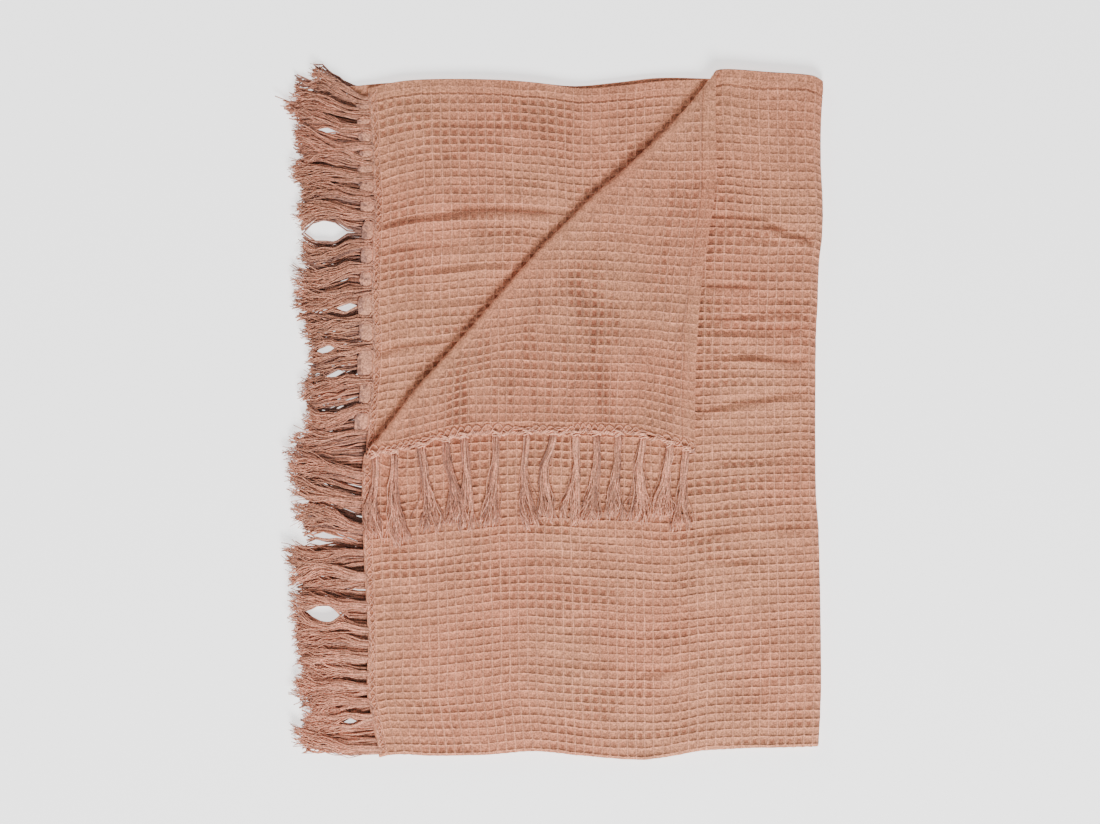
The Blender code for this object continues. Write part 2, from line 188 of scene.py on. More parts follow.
# Hemmed edges, at a distance from the fringe: how much higher the edge lies
HEM_EDGES = rows_of(
    LeafEdge,
    (0, 0, -14, -12, -13), (36, 0, -6, -8, -7), (80, 0, -3.5, -6, -4), (146, 0, -4.5, -6, -5),
    (190, 0, -8, -7, -9), (234, 0, -14, -11, -12), (278, 0, -11, -7, -9), (322, 0, -6, -2, -4),
    (383, 2, -4, -3, -3), (400, 3, -3, -4, -5), (440, 1, -1, -2, -2), (487, -1, -1, -1, -1),
    (500, -6, -6, -6, -6),
)

# Fringed edges, at a distance from the foot: how far to the right the edge lies
FRINGED_EDGES = rows_of(
    LeafEdge,
    (0, 13, 13, 13, 13), (15, 11, 10, 9, 12), (43, 5, 4, 4, 7), (70, 0, 2, 2, 4),
    (125, 1, 3, 4, 2), (213, -3, 0, 3, 5), (300, -5, -2, 2, 4), (345, -2, -1, 3, 5),
    (411, 0, 4, 6, 3), (455, 0, 6, 4, 6), (510, 0, 4, 6, 8), (609, 0, 7, 5, 4), (664, 0, 5, 4, 6),
    (708, 0, 3, -2, 5), (735, 0, 1, -21, 2), (750, 0, 1, -24, -2),
)

# The right-hand fold, at a distance from the foot: how far to the right it lies
RIGHT_FOLD = rows_of(
    FoldEdge,
    (0, -2), (60, 0.5), (150, 0), (240, -2), (285, -5), (360, -5.5), (455, -5), (500, -3),
    (543, -1.5), (575, 2), (609, 2.5), (655, 0.5), (697, 0.5), (736, 3),
)

# The foot's fold, at a distance from the fringe: how much higher it lies
FOOT_FOLD = rows_of(
    FoldEdge,
    (0, -2), (20, 1), (60, 0), (125, 1), (180, 4.5), (230, 0), (298, -4.5), (335, -1), (364, 4.5),
    (400, 7), (470, 9), (500, 10),
)

# The turned corner's fold, at a distance from its start: how far out it bows
TURN_FOLD = rows_of(
    FoldEdge,
    (0, 1), (45, 5), (85, 10), (170, 11.5), (285, 14.5), (375, 12), (420, 7), (480, 2), (525, 2),
    (572, 6),
)

# The turned corner's fringed edge, at a distance from the fold: how much higher it lies
FLAP_FRINGED_EDGE = rows_of(
    FoldEdge,
    (0, 0), (45, 10), (90, 12), (140, 20), (240, 23), (340, 23), (370, 16), (400, 6), (417, 0),
)

# The turned corner's hemmed edge, at a distance from the fold: how far to the right it lies
FLAP_HEMMED_EDGE = rows_of(
    FoldEdge,
    (0, 0), (110, 3), (170, -2), (240, -5), (330, -4), (386, 0),
)

# Soft rises and dips of the whole pile
SWELLS = rows_of(
    Swell,
    (486, 735, 70, 60, -0.14), (440, 560, 90, 60, 0.10), (470, 390, 80, 90, -0.07),
    (380, 160, 120, 90, 0.07), (200, 60, 130, 80, 0.05), (90, 690, 110, 80, 0.06),
    (240, 590, 110, 80, -0.06), (20, 20, 70, 70, -0.10),
)

# Roots and tips are distances from the foot
LEAF_1_TASSELS = rows_of(
    Tassel,
    (8, 20, 92, 4), (42, 37, 76, 4.2), (58, 52, 70, 3.2), (75, 77, 85, 3.6), (92, 94, 73, 3.6),
    (108, 110, 80, 3.6), (123, 127, 84, 3.6), (139, 145, 86, 4.2), (164, 172, 84, 5),
    (196, 196, 84, 4.6), (221, 221, 89, 5), (250, 264, 78, 5), (280, 300, 82, 5.5),
    (309, 324, 89, 5),
)

LEAF_2_TASSELS = rows_of(
    Tassel,
    (356, 347, 86, 4.6), (385, 374, 73, 5), (416, 406, 80, 5), (455, 446, 75, 5.5),
    (484, 479, 80, 5), (517, 509, 88, 5.5), (543, 537, 88, 4.6), (570, 563, 83, 5),
    (601, 608, 90, 4.6), (623, 630, 83, 4.2), (645, 651, 92, 4.2), (664, 673, 80, 4),
    (681, 693, 85, 4), (701, 713, 81, 4), (717, 732, 89, 4), (732, 756, 66, 4),
)

# Roots are distances along the cloth's edge from the foot, and tips are distances from the fringe
FLAP_TASSELS = rows_of(
    Tassel,
    (344, 15, 85, 6), (368, 46, 93, 4), (403, 81, 84, 6), (434, 97, 82, 3.6), (456, 112, 92, 4.4),
    (495, 138, 94, 4.4), (533, 181, 96, 5), (567, 198, 90, 4.4), (594, 224, 91, 4.2),
    (620, 248, 90, 4.6), (649, 274, 86, 5), (680, 297, 88, 5), (714, 327, 76, 5.6),
    (735, 348, 82, 4.6),
)

# Open places of the fringe
GAPS = rows_of(
    Gap,
    (-54, -40, 693, 700), (-69, -36, 572, 592), (-33, -24, 492, 501), (-58, -45, 446, 453),
    (-45, -36, 419, 426), (-58, -41, 238, 244), (-65, -35, 147, 164), (-31, -17, 34, 41),
)

# How far the weave's rows stray from straight lines on the upper leaf, from the foot upwards
LEAF_1_DRIFT = rows_of(
    DriftStep,
    (0, -11, -15, -15, -12), (60, -7, -9.5, -9.5, -8), (105, -3.5, -4.5, -4.5, -4),
    (150, 0, -0.5, -0.5, 0), (200, 0.5, 0, 0, 0), (290, 0, -1, -2, 0), (340, -3, -5, -3, 0),
    (385, -1, -3.5, -5, -3), (430, 2, 0, -7, -5.5), (490, 4, 2, -6.5, -4.5),
)
LEAF_1_BANDS = rows_of(
    Band,
    (0, ""), (90, "first"), (250, "second"), (530, "third"), (690, "fourth"), (746.5, ""),
)

# The same on the second leaf
LEAF_2_DRIFT = rows_of(
    DriftStep,
    (0, -17, -17, -11, -8), (60, -11, -11, -6.5, 0), (105, -6, -6, -3, 1), (150, -1, -1, 0, 1),
    (200, 2, 2, 0, 0), (400, 2, 2, 0, 0),
)
LEAF_2_BANDS = rows_of(
    Band,
    (0, ""), (300, "first"), (438, "second"), (530, "third"), (640, "fourth"), (746.5, ""),
)

STEP, TROUGH, RIDGE = CreaseForm.STEP, CreaseForm.TROUGH, CreaseForm.RIDGE

# Creases of the upper leaf, which show beside and below the turned corner
LEAF_1_CREASES = rows_of(
    Crease,
    (374, 588, 436, 587, STEP, 0.9, 4, 0), (436, 577, 492, 563, STEP, 1.2, 4.5, 0),
    (372, 509, 430, 510, STEP, 1, 4, 0), (368, 472, 492, 480, STEP, 1, 4, 3),
    (372, 458, 470, 457, STEP, 0.7, 3.5, 0), (388, 434, 452, 431, STEP, 0.8, 4, 0),
    (366, 370, 492, 392, STEP, 1.2, 5, 4), (364, 235, 492, 243, STEP, 0.7, 5, 3),
    (372, 208, 424, 206, STEP, 0.7, 4.5, 0), (300, 90, 372, 95, STEP, 0.6, 5, 0),
    (352, 360, 350, 10, STEP, -0.6, 5, 2), (375, 579, 461, 575, STEP, 0.6, 4, 0),
    (410, 563, 471, 562, STEP, 0.6, 4, 0), (370, 497, 492, 495, STEP, 0.5, 4, 0),
    (370, 490, 461, 488, STEP, 0.5, 4, 0), (367, 465, 490, 462, STEP, 0.9, 4, 0),
    (410, 432, 492, 429, STEP, 0.9, 4, 0), (372, 350, 470, 352, STEP, 0.4, 4.5, 0),
    (380, 318, 492, 322, STEP, 0.5, 4.5, 0), (110, 206, 330, 212, STEP, 0.3, 5, 3),
    (20, 150, 190, 140, STEP, 0.3, 5, -3), (200, 96, 345, 90, STEP, 0.3, 5, 2),
)

# Creases of the second leaf, which show above the turned corner
LEAF_2_CREASES = rows_of(
    Crease,
    (2, 584, 214, 601, STEP, 1.6, 5, 4), (6, 556, 112, 560, STEP, 0.7, 5, 0),
    (60, 531, 158, 538, STEP, 1, 4.5, 3), (2, 440, 88, 456, STEP, 1, 4.5, 3),
    (20, 495, 130, 502, STEP, 0.5, 4.5, 0), (10, 690, 180, 694, STEP, 0.5, 5, 0),
)

# Creases of the turned corner, in the folding's own x and y
FLAP_CREASES = rows_of(
    Crease,
    (233, 545, 238, 425, TROUGH, 0.7, 3.5, 3), (246, 580, 260, 392, TROUGH, 0.7, 3.5, -3),
    (203, 530, 207, 470, TROUGH, 0.5, 3.5, 2), (272, 440, 278, 370, TROUGH, 0.6, 4, 0),
    (150, 470, 190, 400, RIDGE, 0.5, 9, 0), (330, 640, 336, 380, TROUGH, 0.5, 4, 2),
    (345, 500, 346, 404, TROUGH, 0.7, 4, 0), (318, 470, 322, 390, TROUGH, 0.5, 4, 0),
    (180, 452, 186, 384, TROUGH, 0.4, 4, 0),
)

# Where the cloth was pressed flatter, or pulled deeper where the share is negative, in places of
# the flat cloth
PRESSED = rows_of(
    Pressed,
    (152, 549, 26, 6, -0.22), (142, 594, 34, 6, -0.25), (120, 613, 30, 7, -0.25),
    (55, 627, 30, 8, -0.2), (40, 452, 30, 8, -0.18), (450, 700, 70, 60, 0.42),
    (440, 150, 60, 60, 0.15), (110, 120, 90, 50, 0.15),
)

# How far a pressed place reaches, in its half widths
PRESSED_REACH = 1.6

# How much higher the creases stand than their tables say, how far and over what distance they
# wander, and the shares of their length by which they run on and over which they fade
CREASE_GAIN = 2.2
CREASE_WANDER = 0.0012
CREASE_WANDER_REACH = 0.021
CREASE_OVERRUN = 0.08
CREASE_FADE = 0.25


def smooth(share: Array | float) -> Array:
    """An easing from 0 to 1 with level ends."""
    share = np.clip(share, 0, 1)
    return share * share * (3 - 2 * share)


def read_table(rows: Sequence[NamedTuple], column: str, at: Array) -> Array:
    """Read a smooth curve through one column of a table.

    Args:
        rows: The table, in millimetres, with its distances in the column "at".
        column: The column to read.
        at: Distances in metres.

    Returns:
        The column's values there, in metres.
    """
    knots = np.array([row.at for row in rows]) * MM
    values = np.array([getattr(row, column) for row in rows]) * MM
    at = np.clip(at, knots[0], knots[-1])
    index = np.clip(np.searchsorted(knots, at, side="right") - 1, 0, len(rows) - 2)
    before, after = np.maximum(index - 1, 0), np.minimum(index + 2, len(rows) - 1)
    low, high = knots[index], knots[index + 1]
    value_low, value_high = values[index], values[index + 1]
    slope_low = (value_high - values[before]) / (high - knots[before])
    slope_high = (values[after] - value_low) / (knots[after] - low)
    step = high - low
    t = (at - low) / step
    return (
        (1 + 2 * t) * (1 - t) ** 2 * value_low
        + t * (1 - t) ** 2 * step * slope_low
        + t * t * (3 - 2 * t) * value_high
        - t * t * (1 - t) * step * slope_high
    )


@dataclass(frozen=True)
class Ripple:
    """Smooth unevenness between -1 and 1, the same in each run.

    seed picks the pattern, and the reaches are the distances over which it changes.
    """

    seed: int
    reach_x: float
    reach_y: float
    size: int = 96
    start_x: float = 11.3
    start_y: float = 7.7

    @cached_property
    def lattice(self) -> Array:
        """The values that the pattern runs between."""
        return np.random.RandomState(self.seed).uniform(-1, 1, (self.size, self.size))

    def at(self, x: Array, y: Array) -> Array:
        """Read the pattern.

        Args:
            x: Distances along the first direction.
            y: Distances along the second direction.

        Returns:
            The unevenness at each place.
        """
        u, v = x / self.reach_x + self.start_x, y / self.reach_y + self.start_y
        i, j = np.floor(u).astype(int), np.floor(v).astype(int)
        s, t = smooth(u - i), smooth(v - j)
        i0, j0 = i % self.size, j % self.size
        i1, j1 = (i + 1) % self.size, (j + 1) % self.size
        grid = self.lattice
        low = grid[i0, j0] * (1 - s) + grid[i1, j0] * s
        high = grid[i0, j1] * (1 - s) + grid[i1, j1] * s
        return low * (1 - t) + high * t


@dataclass(frozen=True)
class Folding:
    """The map from the flat cloth to the folded pile, as the solids have it.

    The turn fields shape the corner that is turned back: where its fold line meets the fringed
    and the hemmed edge, the roll, and how the corner shrinks, slides and comes down behind it.
    """

    leaf_length: float = 0.4925
    leaf_width: float = 0.7465
    thickness: float = 0.0028
    pitch: float = 0.0038
    leaves: int = 4
    turn_foot: float = 0.329
    turn_head: float = 0.386
    turn_radius: float = 0.0034
    turn_easing: float = 0.045
    turn_shrink: float = 0.936
    turn_shear: float = -0.202
    bow_reach: float = 0.07
    flap_reach: float = 0.30
    flap_start: float = 0.06
    centre_x: float = 0.1994
    centre_y: float = 0.3730

    @property
    def foot_radius(self) -> float:
        """The radius at mid-cloth of the fold at the foot."""
        return self.pitch / 2

    @property
    def right_radius(self) -> float:
        """The radius at mid-cloth of the right-hand fold's outer turn."""
        return (self.leaves - 1) * self.pitch / 2

    @property
    def foot_arc(self) -> float:
        """The cloth taken up by the fold at the foot."""
        return math.pi * self.foot_radius

    @property
    def right_arc(self) -> float:
        """The cloth taken up by the right-hand fold."""
        return math.pi * self.right_radius

    @property
    def turn_arc(self) -> float:
        """The cloth taken up by the turned corner's fold."""
        return math.pi * self.turn_radius

    @property
    def cloth_length(self) -> float:
        """The flat cloth from one fringed end to the other."""
        return 2 * self.leaf_length + self.right_arc

    @property
    def cloth_width(self) -> float:
        """The flat cloth from hem to hem."""
        return 2 * self.leaf_width + self.foot_arc

    @property
    def floor(self) -> float:
        """The floor's height, from the middle of leaf 1."""
        return -(self.leaves - 1) * self.pitch - self.thickness / 2

    @cached_property
    def turn_along(self) -> Array:
        """The direction along the turned corner's fold."""
        along = np.array([self.turn_head, self.leaf_width - self.turn_foot])
        return along / np.linalg.norm(along)

    @cached_property
    def turn_out(self) -> Array:
        """The direction across that fold, out of the pile."""
        return np.array([-self.turn_along[1], self.turn_along[0]])

    @cached_property
    def turn_start(self) -> Array:
        """Where that fold begins at the fringe."""
        outside = self.turn_radius + self.thickness / 2
        return np.array([0, self.turn_foot]) - self.turn_out * outside

    def beyond_turn(self, flat: Array) -> Array:
        """How far each flat place lies beyond the slanting fold line."""
        return (flat[:, :2] - self.turn_start) @ self.turn_out

    def turn_corner(self, flat: Array) -> Array:
        """Roll the corner beyond the slanting fold line up and back over leaf 1.

        Args:
            flat: Places in the flat cloth, with z the height over mid-cloth.

        Returns:
            The places with the corner turned.
        """
        from_start = flat[:, :2] - self.turn_start
        beyond = from_start @ self.turn_out
        along = from_start @ self.turn_along
        angle = np.clip(beyond, 0, self.turn_arc) / self.turn_radius
        reach = self.turn_radius - flat[:, 2]
        back = np.maximum(beyond - self.turn_arc, 0)
        rise = self.turn_radius - reach * np.cos(angle)
        rise -= (2 * self.turn_radius - self.pitch) * smooth(back / self.turn_easing)
        spot = (
            self.turn_start
            + np.outer(along + self.turn_shear * back, self.turn_along)
            + np.outer(reach * np.sin(angle) - self.turn_shrink * back, self.turn_out)
        )
        started = smooth(back / self.flap_start)
        near_fringe = np.maximum(1 - flat[:, 0] / self.flap_reach, 0) ** 2
        near_hem = np.maximum(1 - (self.leaf_width - flat[:, 1]) / self.flap_reach, 0) ** 2
        lift = read_table(FLAP_FRINGED_EDGE, "out", flat[:, 1] - self.turn_foot)
        sway = read_table(FLAP_HEMMED_EDGE, "out", self.turn_head - flat[:, 0])
        spot[:, 0] += sway * near_hem * started
        spot[:, 1] += lift * near_fringe * started
        return np.where(beyond[:, None] > 0, np.column_stack([spot, rise]), flat)

    def fold_under_foot(self, place: Array) -> Array:
        """Take the half below the foot's fold line under leaf 1.

        Args:
            place: Places with the corner turned.

        Returns:
            The places with the cloth doubled at the foot.
        """
        x, below, z = place[:, 0], -place[:, 1], place[:, 2]
        angle = np.clip(below, 0, self.foot_arc) / self.foot_radius
        reach = self.foot_radius + z
        rolled = np.column_stack(
            [x, -reach * np.sin(angle), reach * np.cos(angle) - self.foot_radius]
        )
        under = np.column_stack([x, below - self.foot_arc, -2 * self.foot_radius - z])
        folded = np.where((below >= self.foot_arc)[:, None], under, rolled)
        return np.where((below > 0)[:, None], folded, place)

    def fold_under_right(self, place: Array) -> Array:
        """Take the half past the right-hand fold line under the first two leaves.

        Args:
            place: Places of the cloth doubled at the foot.

        Returns:
            The places in the folding.
        """
        past, y, z = place[:, 0] - self.leaf_length, place[:, 1], place[:, 2]
        angle = np.clip(past, 0, self.right_arc) / self.right_radius
        reach = self.right_radius + z
        rolled = np.column_stack(
            [self.leaf_length + reach * np.sin(angle), y, reach * np.cos(angle) - self.right_radius]
        )
        under = np.column_stack([self.cloth_length - place[:, 0], y, -2 * self.right_radius - z])
        folded = np.where((past >= self.right_arc)[:, None], under, rolled)
        return np.where((past > 0)[:, None], folded, place)

    def fold(self, flat: Array) -> Array:
        """The place in the folding of each place of the flat cloth."""
        return self.fold_under_right(self.fold_under_foot(self.turn_corner(flat)))

    def leaf_at(self, height: Array) -> Array:
        """Find the leaf at each height, level through each thickness.

        Args:
            height: Heights over the middle of leaf 1.

        Returns:
            The leaf there, from 0 for leaf 1 to 3, with parts of a leaf between two of them.
        """
        depth = np.clip(-height / self.pitch, 0, self.leaves - 1)
        whole = np.minimum(np.floor(depth), self.leaves - 2)
        solid = self.thickness / 2 / self.pitch
        return whole + smooth((depth - whole - solid) / (1 - 2 * solid))

    def read_leaves(self, rows: Sequence[LeafEdge], leaf: Array, at: Array) -> Array:
        """Read an edge's offset, between the columns of neighbouring leaves.

        Args:
            rows: The table of the edge.
            leaf: The leaf of each place.
            at: Distances along the edge.

        Returns:
            The offset at each place.
        """
        columns = np.stack(
            [read_table(rows, f"leaf_{count + 1}", at) for count in range(self.leaves)]
        )
        upper = np.clip(np.floor(leaf).astype(int), 0, self.leaves - 2)
        each = np.arange(len(leaf))
        from_upper = columns[upper + 1, each] - columns[upper, each]
        return columns[upper, each] + from_upper * (leaf - upper)

    def settle(self, place: Array, leaf: Array) -> Array:
        """Give the straight folding its outline and uneven height, in the frame's own place.

        Args:
            place: Places in the folding.
            leaf: The leaf that each belongs to.

        Returns:
            The places in the shared frame.
        """
        across = np.clip(place[:, 0] / self.leaf_length, 0, 1)
        upward = np.clip(place[:, 1] / self.leaf_width, 0, 1)
        x = place[:, 0] + (1 - across) ** 2 * self.read_leaves(FRINGED_EDGES, leaf, place[:, 1])
        x += across**2 * read_table(RIGHT_FOLD, "out", place[:, 1])
        y = place[:, 1] + upward**2 * self.read_leaves(HEM_EDGES, leaf, place[:, 0])
        y += (1 - upward) ** 2 * read_table(FOOT_FOLD, "out", place[:, 0])
        from_start = place[:, :2] - self.turn_start
        bow = read_table(TURN_FOLD, "out", from_start @ self.turn_along)
        near_turn = np.exp(-((from_start @ self.turn_out / self.bow_reach) ** 2))
        bow *= near_turn * np.maximum(1 - leaf, 0)
        x, y = x + self.turn_out[0] * bow, y + self.turn_out[1] * bow
        gain = np.ones_like(x)
        for swell in SWELLS:
            off_x = (x / MM - swell.x) / swell.reach_x
            off_y = (y / MM - swell.y) / swell.reach_y
            gain += swell.gain * np.exp(-off_x * off_x - off_y * off_y)
        height = (place[:, 2] - self.floor) * gain
        return np.column_stack([x - self.centre_x, y - self.centre_y, height])


FOLDING = Folding()


def crease_lift(creases: Sequence[Crease], x: Array, y: Array) -> Array:
    """How far the creases raise or sink the cloth.

    Args:
        creases: The creases of one leaf.
        x: Distances from the fringe.
        y: Distances from the foot.

    Returns:
        The height that the creases add at each place.
    """
    lift = np.zeros_like(x)
    for crease in creases:
        start = np.array([crease.x_from, crease.y_from]) * MM
        run = np.array([crease.x_to, crease.y_to]) * MM - start
        length = np.linalg.norm(run)
        along = ((x - start[0]) * run[0] + (y - start[1]) * run[1]) / length**2
        aside = ((y - start[1]) * run[0] - (x - start[0]) * run[1]) / length
        share = np.clip(along, 0, 1)
        wander = CREASE_WANDER * np.sin(along * length / CREASE_WANDER_REACH + crease.x_from)
        off = (aside - 4 * crease.bow * MM * share * (1 - share) - wander) / (crease.reach * MM)
        fade = smooth((along + CREASE_OVERRUN) / CREASE_FADE)
        fade *= smooth((1 + CREASE_OVERRUN - along) / CREASE_FADE)
        if crease.form is CreaseForm.STEP:
            form = -off * np.exp(0.5 - off * off / 2)
        elif crease.form is CreaseForm.TROUGH:
            form = -np.exp(-off * off)
        else:
            form = np.exp(-off * off)
        lift += CREASE_GAIN * crease.height * MM * form * fade
    return lift


@dataclass(frozen=True)
class Drift:
    """How far the rows of one leaf stray from straight lines."""

    rows: Sequence[DriftStep]
    bands: Sequence[Band]

    def at(self, x: Array, y: Array) -> Array:
        """Read the drift.

        Args:
            x: Distances from the fringe.
            y: Distances from the foot.

        Returns:
            How much higher the rows lie at each place.
        """
        curves = np.stack([
            read_table(self.rows, band.column, x) if band.column else np.zeros_like(x)
            for band in self.bands
        ])
        heights = np.array([band.at for band in self.bands]) * MM
        index = np.clip(np.searchsorted(heights, y, side="right") - 1, 0, len(heights) - 2)
        share = smooth((y - heights[index]) / (heights[index + 1] - heights[index]))
        each = np.arange(len(x))
        return curves[index, each] * (1 - share) + curves[index + 1, each] * share


@dataclass(frozen=True)
class Weave:
    """The waffle weave: its count of cells, its relief, its hems and its plain headers.

    Reaches and fades along the weave are in cells. The ripples make its wear and its cells
    uneven, and the number after each is how much it does.
    """

    columns: int = 102
    rows: int = 163
    relief: float = 0.00115
    ridge_reach: float = 0.38
    ridge_across: float = 0.9
    hem_face: float = 0.45
    hem_reverse: float = 0.48
    hem: float = 1.74
    hem_fade: float = 0.08
    header: float = 0.55
    header_lead: float = 0.25
    header_fade: float = 0.3
    groove: float = 0.07
    groove_level: float = 0.05
    roll_relief: float = 0.08
    roll_reach: float = 1.6
    sag: float = 0.045
    edge_round: float = 0.0015
    edge_start: float = 0.02
    edge_least: float = 0.18
    wear_middle: float = 0.95
    wear_most: float = 1.1
    patches: Ripple = Ripple(9, 4.5, 3.0)
    patches_gain: float = 0.25
    rows_worn: Ripple = Ripple(10, 5.5, 0.6)
    rows_worn_gain: float = 0.26
    depth_middle: float = 0.88
    depth_chance: float = 0.14
    depths: Ripple = Ripple(5, 9.0, 1.3)
    depths_gain: float = 0.25
    depth_most: float = 0.86
    ridge_dents: Ripple = Ripple(6, 1.1, 0.9)
    ridge_dents_gain: float = 0.09
    rows_sunk: Ripple = Ripple(7, 6.0, 0.8)
    rows_sunk_gain: float = 0.13
    chance_seed: int = 41
    line_gap: float = 0.045
    edge_rounding: tuple[float, ...] = (0.015, 0.06, 0.14)
    groove_lines: tuple[float, ...] = (-0.14, -0.06, 0, 0.06, 0.14)

    @property
    def cell(self) -> Array:
        """The size of one cell along u and v."""
        return np.array([FOLDING.cloth_length / self.columns, FOLDING.cloth_width / self.rows])

    @cached_property
    def cell_chance(self) -> Array:
        """One random number for each cell, between -1 and 1."""
        chance = np.random.RandomState(self.chance_seed)
        return chance.uniform(-1, 1, (self.rows + 1, self.columns + 1))

    def flat(self, uv: Array) -> Array:
        """The place in the flat cloth of a place counted in cells."""
        return uv * self.cell - np.array([0, FOLDING.leaf_width + FOLDING.foot_arc])

    def cells(self, flat: Array) -> Array:
        """The place counted in cells of a place in the flat cloth."""
        return (flat + np.array([0, FOLDING.leaf_width + FOLDING.foot_arc])) / self.cell

    def to_edge(self, uv: Array) -> tuple[Array, Array]:
        """How many cells each place lies from the nearer fringed end, and from the nearer hem."""
        u, v = uv[:, 0], uv[:, 1]
        return np.minimum(u, self.columns - u), np.minimum(v, self.rows - v)

    def strength(self, uv: Array, side: Side) -> Array:
        """How strongly the waffle shows, from 0 where the weave is plain to 1.

        Args:
            uv: Places counted in cells.
            side: The face of the cloth.

        Returns:
            The strength at each place.
        """
        u, v = uv[:, 0], uv[:, 1]
        from_end, from_hem = self.to_edge(uv)
        shown = smooth((from_end - self.header + self.header_lead) / self.header_fade)
        in_hem = 1 - smooth((from_hem - self.hem) / self.hem_fade)
        rolled = np.abs(FOLDING.beyond_turn(self.flat(uv)) - FOLDING.turn_arc / 2)
        in_roll = smooth(self.roll_reach - rolled / FOLDING.turn_arc)
        flattened = self.hem_face if side is Side.FACE else self.hem_reverse
        shown *= (
            self.wear_middle
            + self.patches_gain * self.patches.at(u, v)
            + self.rows_worn_gain * self.rows_worn.at(u, v)
        )
        shown = np.clip(shown, 0, self.wear_most) * self.calm(uv)
        return shown * (1 - (1 - flattened) * in_hem) * (1 - (1 - self.roll_relief) * in_roll)

    def calm(self, uv: Array) -> Array:
        """How much of the waffle is left where the cloth was pressed flatter.

        Args:
            uv: Places counted in cells.

        Returns:
            The share of the relief that is left at each place.
        """
        flat = self.flat(uv) / MM
        left = np.ones(len(uv))
        for spot in PRESSED:
            across, along = (flat[:, 0] - spot.x) / spot.across, (flat[:, 1] - spot.y) / spot.along
            left *= 1 - spot.share * smooth(PRESSED_REACH - np.hypot(across, along))
        return left

    def ridges(self, uv: Array, side: Side) -> Array:
        """How high the weave stands, from 0 in the floor of a cell to 1 on a ridge.

        Args:
            uv: Places counted in cells.
            side: The face of the cloth.

        Returns:
            The share of the relief at each place.
        """
        slope = np.clip(1 - np.abs(uv - np.round(uv)) / self.ridge_reach, 0, 1)
        cells = np.maximum(self.ridge_across * slope[:, 0], slope[:, 1])
        groove = np.exp(-(((self.to_edge(uv)[1] - self.hem) / self.groove) ** 2))
        standing = 1 - self.strength(uv, side) * (1 - cells)
        return standing * (1 - groove) + self.groove_level * groove

    def heights(self, uv: Array, side: Side) -> Array:
        """The height over mid-cloth of one face of the cloth.

        Args:
            uv: Places counted in cells.
            side: The face of the cloth.

        Returns:
            The heights, below zero on the reverse.
        """
        u, v = uv[:, 0], uv[:, 1]
        i = np.clip(np.floor(v).astype(int), 0, self.rows)
        j = np.clip(np.floor(u).astype(int), 0, self.columns)
        depth = self.relief * (self.depth_middle + self.depth_chance * self.cell_chance[i, j])
        depth *= 1 + self.depths_gain * self.depths.at(u, v)
        crown = 1 - self.ridge_dents_gain * (1 + self.ridge_dents.at(u, v))
        crown -= self.rows_sunk_gain * (1 + self.rows_sunk.at(u, v))
        from_end, from_hem = self.to_edge(uv)
        inset = np.minimum(from_end * self.cell[0], from_hem * self.cell[1]) / self.edge_round
        bulge = np.sqrt(1 - (1 - np.clip(inset, self.edge_start, 1)) ** 2)
        half = FOLDING.thickness / 2
        top = half * np.maximum(bulge, self.edge_least)
        sunk = np.clip(depth * (1 - self.ridges(uv, side) * crown), 0, half * self.depth_most)
        return side.value * (top - sunk * smooth(inset))

    def lines(
        self, low: float, high: float, shares: Sequence[float], extra: Sequence[float]
    ) -> Array:
        """The lines of a grid between two counts of cells.

        Args:
            low: Where the grid begins.
            high: Where it ends.
            shares: Where the lines lie in each cell.
            extra: Further lines, which push out those that lie too close.

        Returns:
            The lines in order, with both ends among them.
        """
        firm = np.array([low, high, *(at for at in extra if low < at < high)])
        cells = np.arange(math.floor(low), math.ceil(high))
        loose = (cells[:, None] + np.array(shares)[None, :]).ravel()
        loose = loose[(loose > low) & (loose < high)]
        loose = loose[np.min(np.abs(loose[:, None] - firm[None, :]), axis=1) > self.line_gap]
        return np.unique(np.round(np.concatenate([firm, loose]), 5))

    def edge_lines(self, count: int, hem: float) -> list[float]:
        """Place the further lines that round off both edges, and shape the groove at a hem.

        Args:
            count: The count of cells from one edge to the other.
            hem: The width of the hems, or 0 where there are none.

        Returns:
            The lines.
        """
        near = list(self.edge_rounding)
        if hem:
            near += [hem + off for off in self.groove_lines]
        return near + [count - at for at in near]


WEAVE = Weave()


@dataclass
class Faces:
    """Faces of any size: the corners of all in a row, and how many each has."""

    corners: Array
    sizes: Array

    @property
    def starts(self) -> Array:
        """Where each face's corners begin in the row."""
        return np.concatenate([[0], np.cumsum(self.sizes)[:-1]]).astype(int)

    def flipped(self) -> "Faces":
        """Turn the faces to look the other way.

        Returns:
            The same faces, with their corners in the opposite order.
        """
        start, size = np.repeat(self.starts, self.sizes), np.repeat(self.sizes, self.sizes)
        order = 2 * start + size - 1 - np.arange(len(self.corners))
        return Faces(self.corners[order], self.sizes)

    def moved(self, by: int) -> "Faces":
        """The same faces, with their corners counted from another point."""
        return Faces(self.corners + by, self.sizes)

    @staticmethod
    def joined(parts: Sequence["Faces"]) -> "Faces":
        """All the faces of several sets."""
        corners = np.concatenate([part.corners for part in parts])
        return Faces(corners, np.concatenate([part.sizes for part in parts]))

    @staticmethod
    def even(faces: Array) -> "Faces":
        """Faces that all have the same number of corners, from one row for each."""
        return Faces(faces.ravel(), np.full(len(faces), faces.shape[1]))


